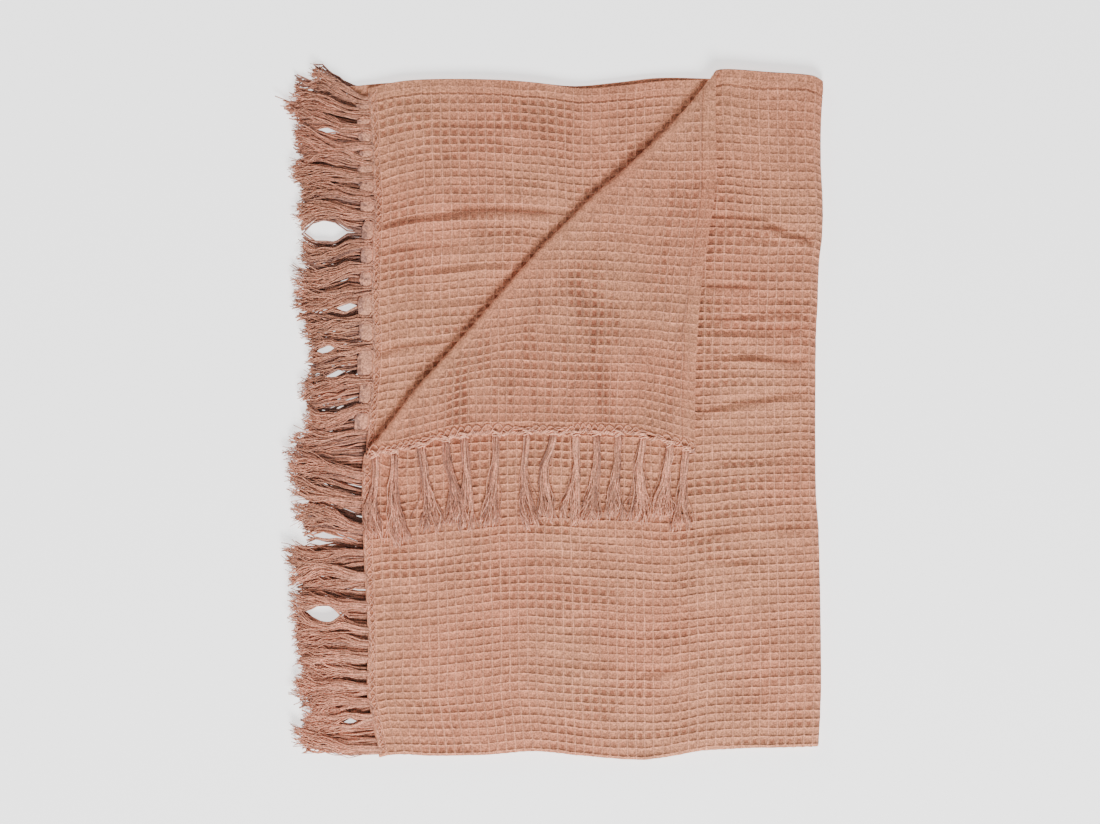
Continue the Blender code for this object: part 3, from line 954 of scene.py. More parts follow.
def make_object(
    name: str, points: Array, faces: Faces, uv: Array, values: dict[str, Array]
) -> bpy.types.Object:
    """Make a smooth object from arrays.

    Args:
        name: The piece's name.
        points: Its points in the shared frame.
        faces: Its faces.
        uv: A place in the weave for each point.
        values: Named numbers, one for each point.

    Returns:
        The new object, at the origin.
    """
    mesh = bpy.data.meshes.new(name)
    mesh.vertices.add(len(points))
    mesh.vertices.foreach_set("co", points.astype(np.float32).ravel())
    mesh.loops.add(len(faces.corners))
    mesh.loops.foreach_set("vertex_index", faces.corners.astype(np.int32))
    mesh.polygons.add(len(faces.sizes))
    mesh.polygons.foreach_set("loop_start", faces.starts.astype(np.int32))
    mesh.update(calc_edges=True)
    layer = mesh.uv_layers.new(name="Weave")
    layer.data.foreach_set("uv", uv[faces.corners].astype(np.float32).ravel())
    for label, numbers in values.items():
        attribute = mesh.attributes.new(label, "FLOAT", "POINT")
        attribute.data.foreach_set("value", numbers.astype(np.float32))
    mesh.shade_smooth()
    made = bpy.data.objects.new(name, mesh)
    bpy.context.collection.objects.link(made)
    return made


# How close to the cut a point counts as lying on it, in cells
CUT_TOLERANCE = 1e-5


@dataclass
class Patch:
    """A window of the weave, cut into a grid: its points in cells, its faces and its rim."""

    uv: Array
    faces: Faces
    rim: Array

    @classmethod
    def cut_out(cls, u_lines: Array, v_lines: Array, cut: Cut) -> "Patch":
        """Cut a window out of the weave.

        Args:
            u_lines: The grid's lines along u.
            v_lines: The grid's lines along v.
            cut: What is kept at the slanting fold line.

        Returns:
            The patch, with its faces turned towards the cloth's face.
        """
        grid_u, grid_v = np.meshgrid(u_lines, v_lines)
        uv = np.column_stack([grid_u.ravel(), grid_v.ravel()])
        index = np.arange(len(uv)).reshape(grid_u.shape)
        quads = np.stack(
            [index[:-1, :-1], index[:-1, 1:], index[1:, 1:], index[1:, :-1]], axis=-1
        )
        faces = Faces.even(quads.reshape(-1, 4))
        if cut is not Cut.NOTHING_CUT:
            uv, faces = cls.slant(uv, faces, cut)
        return cls(uv, faces, cls.rim_of(uv, faces))

    @staticmethod
    def slant(uv: Array, faces: Faces, cut: Cut) -> tuple[Array, Faces]:
        """Cut a grid along the slanting fold line.

        Args:
            uv: The grid's points in cells.
            faces: Its faces.
            cut: Which part is kept.

        Returns:
            The points and faces that are left.
        """
        points = np.column_stack([uv, np.zeros(len(uv))])
        sheet = make_object("cutting", points, faces, uv, {})
        cutting = bmesh.new()
        cutting.from_mesh(sheet.data)
        spot = WEAVE.cells(FOLDING.turn_start)
        normal = FOLDING.turn_out * WEAVE.cell
        bmesh.ops.bisect_plane(
            cutting,
            geom=cutting.verts[:] + cutting.edges[:] + cutting.faces[:],
            dist=CUT_TOLERANCE,
            plane_co=(*spot, 0),
            plane_no=(*normal, 0),
            clear_outer=cut is Cut.KEEPS_LEAF,
            clear_inner=cut is Cut.KEEPS_CORNER,
        )
        cutting.to_mesh(sheet.data)
        cutting.free()
        mesh = sheet.data
        left = np.empty(len(mesh.vertices) * 3)
        mesh.vertices.foreach_get("co", left)
        corners = np.empty(len(mesh.loops), dtype=np.int32)
        mesh.loops.foreach_get("vertex_index", corners)
        sizes = np.empty(len(mesh.polygons), dtype=np.int32)
        mesh.polygons.foreach_get("loop_total", sizes)
        bpy.data.objects.remove(sheet)
        bpy.data.meshes.remove(mesh)
        return left.reshape(-1, 3)[:, :2], Faces(corners.astype(int), sizes.astype(int))

    @staticmethod
    def rim_of(uv: Array, faces: Faces) -> Array:
        """Walk along the rim of a patch.

        Args:
            uv: The patch's points in cells.
            faces: Its faces.

        Returns:
            The rim's points in order, from the corner with the lowest u and v.
        """
        following = np.arange(1, len(faces.corners) + 1)
        following[faces.starts + faces.sizes - 1] = faces.starts
        tail, head = faces.corners, faces.corners[following]
        count = len(uv)
        open_edge = ~np.isin(head * count + tail, tail * count + head)
        after = dict(zip(tail[open_edge].tolist(), head[open_edge].tolist()))
        edge = np.array(sorted(after))
        spot = int(edge[np.argmin(uv[edge].sum(axis=1))])
        rim = [spot]
        while after[rim[-1]] != spot:
            rim.append(after[rim[-1]])
        return np.array(rim)


def stitch_rims(upper: Patch, lower: Patch, upper_at: int, lower_at: int) -> Faces:
    """Close the side of a shell between the rims of its two faces.

    Args:
        upper: The patch on the cloth's face.
        lower: The patch on its reverse.
        upper_at: Where the first patch's points begin.
        lower_at: Where the second one's begin.

    Returns:
        The triangles of the side.
    """
    ways = []
    for patch in (upper, lower):
        spots = patch.uv[np.append(patch.rim, patch.rim[0])]
        steps = np.linalg.norm(np.diff(spots, axis=0), axis=1)
        ways.append(np.concatenate([[0], np.cumsum(steps)]) / steps.sum())
    high = np.append(upper.rim, upper.rim[0]) + upper_at
    low = np.append(lower.rim, lower.rim[0]) + lower_at
    i = j = 0
    triangles = []
    while i < len(high) - 1 or j < len(low) - 1:
        if j == len(low) - 1 or (i < len(high) - 1 and ways[0][i + 1] <= ways[1][j + 1]):
            triangles.append((high[i + 1], high[i], low[j]))
            i += 1
        else:
            triangles.append((low[j], low[j + 1], high[i]))
            j += 1
    return Faces.even(np.array(triangles))


@dataclass
class NodeBench:
    """A small helper that places and links shader nodes in a tree."""

    tree: bpy.types.NodeTree

    def add(self, kind: str, settings: dict | None = None, **sockets: object) -> bpy.types.Node:
        """Add a node.

        Args:
            kind: The node's type, without its leading "ShaderNode".
            settings: Properties of the node itself.
            sockets: For each input, by its name with _ for a space, a value or an output to link.

        Returns:
            The new node.
        """
        node = self.tree.nodes.new("ShaderNode" + kind)
        for label, value in (settings or {}).items():
            setattr(node, label, value)
        for label, value in sockets.items():
            name = label.replace("_", " ")
            self.feed(node.inputs[int(label[1:]) if label[1:].isdigit() else name], value)
        return node

    def feed(self, socket: bpy.types.NodeSocket, value: object) -> None:
        """Link an output to a socket, or set the socket's own value.

        Args:
            socket: The input to feed.
            value: An output to link, or a value.
        """
        if isinstance(value, bpy.types.NodeSocket):
            self.tree.links.new(value, socket)
        else:
            socket.default_value = value

    def maths(self, operation: str, first: object, second: object = 0.0) -> bpy.types.NodeSocket:
        """The result of a sum on one or two numbers."""
        return self.add("Math", {"operation": operation}, i0=first, i1=second).outputs[0]

    def spread(
        self, value: object, low: float, high: float, out_low: float, out_high: float,
        form: str = "SMOOTHSTEP",
    ) -> bpy.types.NodeSocket:
        """Move a number from one range to another.

        Args:
            value: The number.
            low: Where the first range begins.
            high: Where it ends.
            out_low: Where the second range begins.
            out_high: Where it ends.
            form: The kind of easing between them.

        Returns:
            The number in the second range.
        """
        node = self.add("MapRange", {"interpolation_type": form}, Value=value)
        ends = (("From Min", low), ("From Max", high), ("To Min", out_low), ("To Max", out_high))
        for label, number in ends:
            node.inputs[label].default_value = number
        return node.outputs["Result"]

    def blend(
        self, share: object, first: object, second: object, mode: str = "MIX"
    ) -> bpy.types.NodeSocket:
        """Mix two colours.

        Args:
            share: The share of the second.
            first: The first colour.
            second: The second colour.
            mode: The way in which they mix.

        Returns:
            The mixed colour.
        """
        node = self.add("Mix", {"data_type": "RGBA", "blend_type": mode})
        self.feed(node.inputs["Factor"], share)
        self.feed(node.inputs[6], first)
        self.feed(node.inputs[7], second)
        return node.outputs[2]

    def noise(
        self, place: object, scale: float, detail: float = 2.0, rough: float = 0.5
    ) -> bpy.types.NodeSocket:
        """A noise between 0 and 1."""
        node = self.add("TexNoise", Vector=place, Scale=scale, Detail=detail, Roughness=rough)
        return node.outputs["Fac"]


Sockets = Sequence[tuple[str, str]]


def group_of(
    name: str, inputs: Sockets, outputs: Sockets
) -> tuple[bpy.types.NodeTree, NodeBench, object, object]:
    """Start a new shader node group.

    Args:
        name: The group's name.
        inputs: Name and socket type of each input.
        outputs: Name and socket type of each output.

    Returns:
        The group's tree, a bench on it, what it is given, and what it puts out.
    """
    tree = bpy.data.node_groups.new(name, "ShaderNodeTree")
    for in_out, sockets in (("INPUT", inputs), ("OUTPUT", outputs)):
        for label, kind in sockets:
            tree.interface.new_socket(label, in_out=in_out, socket_type="NodeSocket" + kind)
    given = tree.nodes.new("NodeGroupInput")
    made = tree.nodes.new("NodeGroupOutput")
    return tree, NodeBench(tree), given.outputs, made.inputs


class Mottle(NamedTuple):
    """A layer of light and dark: its scale and roughness, its noise's range, and its tones."""

    scale: float
    rough: float
    low: float
    high: float
    darkest: float
    palest: float


# Wide clouds, fine mottling and single fibres
MOTTLES = rows_of(
    Mottle,
    (45.0, 0.5, 0.3, 0.7, 0.93, 1.06), (230.0, 0.6, 0.3, 0.7, 0.88, 1.11),
    (560.0, 0.6, 0.36, 0.64, 0.68, 1.30),
)


@dataclass
class CottonDyeAndLight:
    """The shared effect of piece-dyed cotton: patches and mottling, with painted light: paler
    towards Pale where Raised is high, as a painted highlight, and deeper towards Deep where it is
    low, as painted shade.
    """

    patch_scale: float = 7.0
    patch_detail: float = 1.5
    patch_hue: float = 0.506
    patch_saturation: float = 0.97
    raised_from: float = 0.35
    sunk_low: float = 0.03
    sunk_high: float = 0.14

    def group(self) -> bpy.types.NodeTree:
        """Build the effect.

        Returns:
            Its node group.
        """
        colours = [(label, "Color") for label in ("Base", "Pale", "Deep")]
        tree, bench, given, made = group_of(
            "cotton dye", [("Place", "Vector"), *colours, ("Raised", "Float")],
            [("Colour", "Color")],
        )
        place, base = given["Place"], given["Base"]
        patches = bench.noise(place, self.patch_scale, self.patch_detail)
        patches = bench.spread(patches, 0.34, 0.66, 0.0, 1.0)
        tan = bench.add(
            "HueSaturation", Hue=self.patch_hue, Saturation=self.patch_saturation, Value=1.0,
            Color=base,
        )
        warm = bench.blend(patches, base, tan.outputs["Color"])
        # Painted highlight and shade: high Raised values mix towards Pale, low ones towards Deep.
        raised = bench.spread(given["Raised"], self.raised_from, 1.0, 0.0, 1.0)
        sunk = bench.spread(given["Raised"], self.sunk_low, self.sunk_high, 1.0, 0.0)
        colour = bench.blend(raised, warm, given["Pale"])
        colour = bench.blend(sunk, colour, given["Deep"])
        wide, fine, fibre = (
            bench.spread(bench.noise(place, scale, 2.0, rough), *ends)
            for scale, rough, *ends in MOTTLES
        )
        level = bench.maths("MULTIPLY", bench.maths("MULTIPLY", fine, fibre), wide)
        tone = bench.add("CombineColor", i0=level, i1=level, i2=level).outputs[0]
        tree.links.new(bench.blend(1.0, colour, tone, "MULTIPLY"), made["Colour"])
        return tree


@dataclass
class ThreadRelief:
    """The shared effect of single threads: a fine over-and-under height with loose fuzz."""

    crookedness: float = 1.2
    wave_detail: float = 1.0
    thread_share: float = 0.25
    fuzz_scale: float = 520.0
    fuzz_detail: float = 3.0
    fuzz_rough: float = 0.65

    def group(self) -> bpy.types.NodeTree:
        """Build the effect.

        Returns:
            Its node group.
        """
        tree, bench, given, made = group_of(
            "thread relief", [("Weave", "Vector"), ("Place", "Vector"), ("Threads", "Float")],
            [("Height", "Float")],
        )
        waves = [
            bench.add(
                "TexWave", {"bands_direction": direction}, Vector=given["Weave"],
                Scale=given["Threads"], Distortion=self.crookedness, Detail=self.wave_detail,
            ).outputs["Fac"]
            for direction in ("X", "Y")
        ]
        threads = bench.maths("MULTIPLY", bench.maths("ADD", *waves), self.thread_share)
        fuzz = bench.noise(given["Place"], self.fuzz_scale, self.fuzz_detail, self.fuzz_rough)
        tree.links.new(bench.maths("ADD", threads, fuzz), made["Height"])
        return tree


@dataclass
class WaffleRelief:
    """The shared effect of the waffle itself: its sunk cells, and the thin floats on its ridges,
    whose crest mask the finish paints paler as a painted highlight.

    For the ridges across and along the cloth, the heights and the crests say how strongly each
    shows. The reaches are in cells.
    """

    heights: tuple[float, float] = (0.95, 1.0)
    crests: tuple[float, float] = (1.5, 1.0)
    slope_reach: float = 0.42
    crest_from: float = 0.015
    crest_to: float = 0.085

    def group(self) -> bpy.types.NodeTree:
        """Build the effect.

        Returns:
            Its node group.
        """
        tree, bench, given, made = group_of(
            "waffle relief", [("Weave", "Vector"), ("Strength", "Float")],
            [("Height", "Float"), ("Crest", "Float")],
        )
        split = bench.add("SeparateXYZ", Vector=given["Weave"])
        slopes, crests = [], []
        for axis, (height, shown) in enumerate(zip(self.heights, self.crests)):
            off = bench.maths("PINGPONG", split.outputs[axis], 0.5)
            slope = bench.spread(off, 0.0, self.slope_reach, height, 0.0, "LINEAR")
            slopes.append(bench.maths("MULTIPLY", slope, slope))
            crests.append(bench.spread(off, self.crest_from, self.crest_to, shown, 0.0))
        cells = bench.maths("MAXIMUM", *slopes)
        crest = bench.maths("MULTIPLY", bench.maths("MAXIMUM", *crests), given["Strength"])
        height = bench.maths("MULTIPLY", cells, given["Strength"])
        tree.links.new(height, made["Height"])
        tree.links.new(crest, made["Crest"])
        return tree


@dataclass(frozen=True)
class Effects:
    """The node groups that the finishes share."""

    dye_and_light: bpy.types.NodeTree
    threads: bpy.types.NodeTree
    waffle: bpy.types.NodeTree


@dataclass(frozen=True)
class CottonFinish:
    """One finish of the dyed cotton, with its colours and the size of its threads.

    The bumps are heights in metres: fuzz for the threads, and waffle for the sunk cells. crest is
    how much paler the thin floats on the ridges are painted, as a painted highlight, and pale and
    deep are the painted highlight and painted shade mixed in by how raised each point is.
    """

    name: str
    base: tuple[float, float, float]
    pale: tuple[float, float, float]
    deep: tuple[float, float, float]
    threads: float
    fuzz: float
    waffle: float = 0.0
    crest: float = 0.0
    roughness: float = 0.93
    specular: float = 0.2
    sheen: float = 0.08
    sheen_roughness: float = 0.5

    def material(self, effects: Effects) -> bpy.types.Material:
        """Build the finish.

        Args:
            effects: The shared node groups.

        Returns:
            The material.
        """
        made = bpy.data.materials.new(self.name)
        made.use_nodes = True
        bench = NodeBench(made.node_tree)
        shader = made.node_tree.nodes["Principled BSDF"]
        place = bench.add("TexCoord").outputs["Object"]
        weave = bench.add("UVMap", {"uv_map": "Weave"}).outputs["UV"]
        raised = bench.add("Attribute", {"attribute_name": "raised"}).outputs["Fac"]
        thread = bench.add(
            "Group", {"node_tree": effects.threads}, Weave=weave, Place=place,
            Threads=self.threads,
        )
        height = bench.maths("MULTIPLY", thread.outputs["Height"], self.fuzz / MM)
        if self.waffle:
            strength = bench.add("Attribute", {"attribute_name": "waffle"}).outputs["Fac"]
            cell = bench.add(
                "Group", {"node_tree": effects.waffle}, Weave=weave, Strength=strength
            )
            sunk = bench.maths("MULTIPLY", cell.outputs["Height"], self.waffle / MM)
            height = bench.maths("ADD", height, sunk)
            # The crests are painted paler: a painted highlight along the ridges.
            crest = bench.maths("MULTIPLY", cell.outputs["Crest"], self.crest)
            raised = bench.maths("MULTIPLY", raised, 1 - self.crest)
            raised = bench.maths("ADD", raised, crest)
        dyed_and_lit = bench.add("Group", {"node_tree": effects.dye_and_light}, Place=place, Raised=raised)
        for label, colour in (("Base", self.base), ("Pale", self.pale), ("Deep", self.deep)):
            dyed_and_lit.inputs[label].default_value = (*colour, 1)
        bump = bench.add("Bump", Strength=1.0, Distance=MM, Height=height)
        bench.feed(shader.inputs["Base Color"], dyed_and_lit.outputs["Colour"])
        bench.feed(shader.inputs["Normal"], bump.outputs["Normal"])
        shader.inputs["Roughness"].default_value = self.roughness
        shader.inputs["Specular IOR Level"].default_value = self.specular
        shader.inputs["Sheen Weight"].default_value = self.sheen
        shader.inputs["Sheen Roughness"].default_value = self.sheen_roughness
        return made


# Pale is painted highlight on the ridges and their crests, deep is painted shade in the cell floors
# and the hem's groove.
CLOTH_FINISH = CottonFinish(
    "waffle cotton", base=(0.60, 0.227, 0.130), pale=(0.84, 0.358, 0.222),
    deep=(0.33, 0.112, 0.062), threads=3.1, fuzz=0.0007, waffle=0.0022, crest=0.52,
)
# For the yarns, pale and deep carry painted light and shade on top of their own random tones.
YARN_FINISH = CottonFinish(
    "fringe yarn", base=(0.60, 0.256, 0.167), pale=(0.94, 0.45, 0.302),
    deep=(0.34, 0.163, 0.121), threads=0.5, fuzz=0.0003,
)


class Stray(NamedTuple):
    """How far the threads stray along u or v, in metres, and in which pattern."""

    axis: int
    most: float
    pattern: Ripple


STRAYS = rows_of(
    Stray,
    (0, 0.00055, Ripple(21, 1.3, 1.1)), (0, 0.0007, Ripple(24, 2.0, 6.0)),
    (1, 0.00050, Ripple(22, 1.2, 1.2)), (1, 0.0011, Ripple(23, 4.5, 2.5)),
)


@dataclass(frozen=True)
class Window:
    """A window of the weave, between two counts of cells along u and two along v."""

    u_from: float
    u_to: float
    v_from: float
    v_to: float

    def grid(self, shares: Sequence[float]) -> tuple[Array, Array]:
        """Lay a grid over the window, close together where the cloth's edges round off.

        Args:
            shares: Where the lines lie in each cell.

        Returns:
            The grid's lines along u and along v.
        """
        u_edges = WEAVE.edge_lines(WEAVE.columns, 0)
        v_edges = WEAVE.edge_lines(WEAVE.rows, WEAVE.hem)
        return (
            WEAVE.lines(self.u_from, self.u_to, shares, u_edges),
            WEAVE.lines(self.v_from, self.v_to, shares, v_edges),
        )


@dataclass
class ClothPiece:
    """One window of the folded cloth, fine on the face that shows and plainer on the other."""

    name: str
    shown: Side
    lines: tuple[Array, Array]
    plain_lines: tuple[Array, Array]
    cut: Cut = Cut.NOTHING_CUT
    creases: Sequence[Crease] = ()
    crease_leaf: float = 0.0
    drift: Drift | None = None

    cut_reach: float = 0.03
    edge_reach: float = 0.8
    drift_reach: float = 1.2
    fold_reach: float = 0.008
    pucker: float = 0.0006
    long_puckers: Ripple = Ripple(31, 0.055, 0.012)
    short_puckers: Ripple = Ripple(32, 0.04, 0.03)
    short_share: float = 0.9

    def stray(self, uv: Array) -> Array:
        """Let the threads stray a little, and the rows drift, away from the piece's own edges.

        Args:
            uv: Places counted in cells.

        Returns:
            The places in the flat cloth.
        """
        u, v = uv[:, 0], uv[:, 1]
        u_lines, v_lines = self.lines
        to_end = np.minimum(v - v_lines[0], v_lines[-1] - v)
        inset = np.minimum.reduce([u - u_lines[0], u_lines[-1] - u, to_end])
        flat = WEAVE.flat(uv)
        from_cut = np.ones(len(uv))
        if self.cut is not Cut.NOTHING_CUT:
            from_cut = np.abs(FOLDING.beyond_turn(flat)) / self.cut_reach
        free = smooth(inset / self.edge_reach) * smooth(from_cut)
        for axis, most, pattern in STRAYS:
            flat[:, axis] += most * free * pattern.at(u, v)
        flat[:, 1] += WEAVE.sag * WEAVE.cell[1] * free * np.cos(TAU * u) * self.shown.value
        if self.drift:
            upper = flat[:, 1] >= 0
            y = np.where(upper, flat[:, 1], -FOLDING.foot_arc - flat[:, 1])
            strayed = self.drift.at(flat[:, 0], np.maximum(y, 0)) * smooth(from_cut)
            ends = smooth(to_end / self.drift_reach)
            flat[:, 1] += np.where(upper, 1.0, -1.0) * strayed * ends * (y > 0)
        return flat

    def lay(self, uv: Array, side: Side) -> Array:
        """Lay one face of the piece into the folded pile.

        Args:
            uv: Places counted in cells.
            side: The face of the cloth.

        Returns:
            The places in the shared frame.
        """
        flat = np.column_stack([self.stray(uv), WEAVE.heights(uv, side)])
        place = FOLDING.fold(flat)
        leaf = FOLDING.leaf_at(place[:, 2])
        x, y = place[:, 0], place[:, 1]
        lift = crease_lift(self.creases, x, y)
        puckers = self.long_puckers.at(x, y) + self.short_share * self.short_puckers.at(x, y)
        lift += self.pucker * puckers
        if self.cut is Cut.KEEPS_CORNER:
            back = FOLDING.beyond_turn(flat) - FOLDING.turn_arc
            held = smooth(back / self.cut_reach)
        else:
            held = np.maximum(1 - np.abs(leaf - self.crease_leaf), 0)
            held *= smooth((FOLDING.leaf_length - x) / self.fold_reach)
            held *= smooth(y / self.fold_reach)
        place[:, 2] += lift * held
        return FOLDING.settle(place, leaf)

    def build(self) -> bpy.types.Object:
        """Build the piece as a closed shell.

        Returns:
            The piece's object.
        """
        fine = Patch.cut_out(*self.lines, self.cut)
        plain = Patch.cut_out(*self.plain_lines, self.cut)
        upper, lower = (fine, plain) if self.shown is Side.FACE else (plain, fine)
        sides = ((upper.uv, Side.FACE), (lower.uv, Side.REVERSE))
        count = len(upper.uv)
        rest = [lower.faces.flipped().moved(count), stitch_rims(upper, lower, 0, count)]
        # The ridges' height also goes out as raised, which the finish turns into painted highlight
        # on the ridges and painted shade in the cell floors and the hem's groove.
        points, raised, waffle = (
            np.concatenate([read(uv, side) for uv, side in sides])
            for read in (self.lay, WEAVE.ridges, WEAVE.strength)
        )
        return make_object(
            self.name, points, Faces.joined([upper.faces, *rest]),
            np.concatenate([upper.uv, lower.uv]), {"raised": raised, "waffle": waffle},
        )


@dataclass
class Cloth:
    """The woven cloth in its four leaves with the turned corner.

    It is made as four shells that meet where nothing shows. Of each cell, fine, half and plain
    are the shares at which the grids' lines lie. beyond is how many cells the second leaf is
    fine beyond the turned corner, and before how many the corner begins before its edges.
    """

    fine: tuple[float, ...] = (0.0, 0.1, 0.3, 0.7, 0.9)
    half: tuple[float, ...] = (0.0, 0.5)
    plain: tuple[float, ...] = (0.0,)
    beyond: float = 2.0
    before_u: float = 1.0
    before_v: float = 1.5
    pieces: dict[str, bpy.types.Object] = field(default_factory=dict)

    def second_lines(self, whole: Window) -> tuple[Array, Array]:
        """Lay a grid over the second leaf, fine only where it shows.

        Args:
            whole: The leaf's window.

        Returns:
            The grid's lines along u and along v.
        """
        shown_u = math.floor(FOLDING.turn_head / WEAVE.cell[0] + self.beyond)
        turned = FOLDING.leaf_width - FOLDING.turn_foot
        shown_v = math.floor(turned / WEAVE.cell[1] + self.beyond)
        near = Window(whole.u_from, shown_u, whole.v_from, shown_v).grid(self.fine)
        far = Window(shown_u, whole.u_to, shown_v, whole.v_to).grid(self.plain)
        u_lines, v_lines = (np.unique(np.concatenate(pair)) for pair in zip(near, far))
        return u_lines, v_lines

    def plan(self) -> list[ClothPiece]:
        """Plan the four pieces, from the top of the pile to the floor.

        Returns:
            The pieces.
        """
        rows, columns = WEAVE.rows, WEAVE.columns
        u_turned = (FOLDING.leaf_length + FOLDING.right_arc) / WEAVE.cell[0]
        v_foot = FOLDING.leaf_width / WEAVE.cell[1]
        corner_u = FOLDING.turn_head / WEAVE.cell[0] + self.before_u
        to_turn = FOLDING.leaf_width + FOLDING.foot_arc + FOLDING.turn_foot
        corner_v = to_turn / WEAVE.cell[1] - self.before_v
        leaf = Window(0, u_turned, v_foot, rows)
        corner = Window(0, corner_u, corner_v, rows)
        second = Window(0, u_turned, 0, v_foot)
        lower = Window(u_turned, columns, 0, rows)
        return [
            ClothPiece(
                "upper_leaf", Side.FACE, leaf.grid(self.fine), leaf.grid(self.plain),
                Cut.KEEPS_LEAF, LEAF_1_CREASES, 0, Drift(LEAF_1_DRIFT, LEAF_1_BANDS),
            ),
            ClothPiece(
                "turned_corner", Side.REVERSE, corner.grid(self.fine), corner.grid(self.plain),
                Cut.KEEPS_CORNER, FLAP_CREASES,
            ),
            ClothPiece(
                "second_leaf", Side.REVERSE, self.second_lines(second), second.grid(self.plain),
                Cut.NOTHING_CUT, LEAF_2_CREASES, 1, Drift(LEAF_2_DRIFT, LEAF_2_BANDS),
            ),
            ClothPiece(
                "lower_leaves", Side.FACE, lower.grid(self.half), lower.grid(self.plain)
            ),
        ]

    def build(self) -> None:
        """Build the four shells."""
        for piece in self.plan():
            self.pieces[piece.name] = piece.build()

    def dress(self, finish: bpy.types.Material) -> None:
        """Give the pieces their finish, and say what they are.

        Args:
            finish: The cloth's material.
        """
        for made in self.pieces.values():
            made.data.materials.append(finish)
            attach(made, BODY)
            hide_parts("blanket_cloth")
            report(made)


# The lowest and highest root of a hidden tassel, and its lowest tip, in millimetres from the foot
UNDER_ROOTS = (15, 732)
UNDER_TIP = 18


def under_tassels(tassels: Sequence[Tassel], seed: int, shift: float = 0.0) -> list[Tassel]:
    """Plan the tassels of a lower leaf, mostly hidden by the ones above them.

    Args:
        tassels: The tassels above them.
        seed: The source of their unevenness.
        shift: How far they are shifted along the edge.

    Returns:
        The lower tassels.
    """
    chance = random.Random(seed)
    low, high = UNDER_ROOTS
    return [
        Tassel(
            root=min(max(tassel.root + shift + chance.uniform(-4, 4), low), high),
            tip=max(tassel.tip + shift, UNDER_TIP) + chance.uniform(-2, 2),
            length=tassel.length * chance.uniform(0.88, 0.98),
            fan=0,
        )
        for tassel in tassels
    ]


@dataclass
class YarnBasket:
    """Yarns gathered up for one object: tubes along paths in the folding.

    twists is how many times a metre of yarn crosses the thread pattern, lowest keeps the yarns
    off the floor, and shortest guards the lengths that directions are divided by.
    """

    twists: float = 400
    lowest: float = 0.0001
    shortest: float = 1e-9
    points: list[Array] = field(default_factory=list)
    faces: list[Faces] = field(default_factory=list)
    uv: list[Array] = field(default_factory=list)
    raised: list[Array] = field(default_factory=list)
    leaves: list[Array] = field(default_factory=list)
    count: int = 0

    def add(self, points: Array, faces: Faces, uv: Array, raised: Array, leaf: float) -> None:
        """Add a mesh in the folding.

        Args:
            points: Its points.
            faces: Its faces.
            uv: A place in the thread pattern for each point.
            raised: How pale each point is, from 0 to 1.
            leaf: The leaf that it belongs to.
        """
        self.points.append(points)
        self.faces.append(faces.moved(self.count))
        self.uv.append(uv)
        self.raised.append(raised)
        self.leaves.append(np.full(len(points), float(leaf)))
        self.count += len(points)

    def lay(self, paths: Array, radii: Array, sides: int, raised: Array, leaf: float) -> None:
        """Lay yarns along their paths.

        Args:
            paths: For each yarn, the points that it follows.
            radii: For each yarn, its radius at each of them.
            sides: How many sides a yarn has.
            raised: For each yarn, how pale it is at each point, from 0 to 1.
            leaf: The leaf that they belong to.
        """
        yarns, steps = radii.shape
        course = np.gradient(paths, axis=1)
        course /= np.maximum(np.linalg.norm(course, axis=2, keepdims=True), self.shortest)
        aside = np.cross(course, (0, 0, 1))
        aside /= np.maximum(np.linalg.norm(aside, axis=2, keepdims=True), self.shortest)
        upward = np.cross(aside, course)
        turn = TAU * np.arange(sides) / sides + math.pi / 2
        ring = aside[:, :, None, :] * np.cos(turn)[:, None]
        ring = ring + upward[:, :, None, :] * np.sin(turn)[:, None]
        points = paths[:, :, None, :] + ring * radii[:, :, None, None]
        index = np.arange(yarns * steps * sides).reshape(yarns, steps, sides)
        after = np.roll(index, -1, axis=2)
        corners = [index[:, :-1], index[:, 1:], after[:, 1:], after[:, :-1]]
        quads = np.stack(corners, axis=-1).reshape(-1, 4)
        caps = np.concatenate([index[:, 0, :], index[:, -1, ::-1]])
        run = np.cumsum(np.linalg.norm(np.diff(paths, axis=1), axis=2), axis=1)
        run = np.concatenate([np.zeros((yarns, 1)), run], axis=1) * self.twists
        round_by = np.broadcast_to(turn / TAU, (yarns, steps, sides))
        uv = np.stack([round_by, np.repeat(run[:, :, None], sides, axis=2)], axis=-1)
        self.add(
            points.reshape(-1, 3), Faces.joined([Faces.even(quads), Faces.even(caps)]),
            uv.reshape(-1, 2), np.repeat(raised, sides, axis=1).ravel(), leaf,
        )

    def build(self, name: str) -> bpy.types.Object:
        """Make one object of all the yarns.

        Args:
            name: The piece's name.

        Returns:
            Its object.
        """
        places = FOLDING.settle(np.concatenate(self.points), np.concatenate(self.leaves))
        places[:, 2] = np.maximum(places[:, 2], self.lowest)
        return make_object(
            name, places, Faces.joined(self.faces), np.concatenate(self.uv),
            {"raised": np.concatenate(self.raised)},
        )


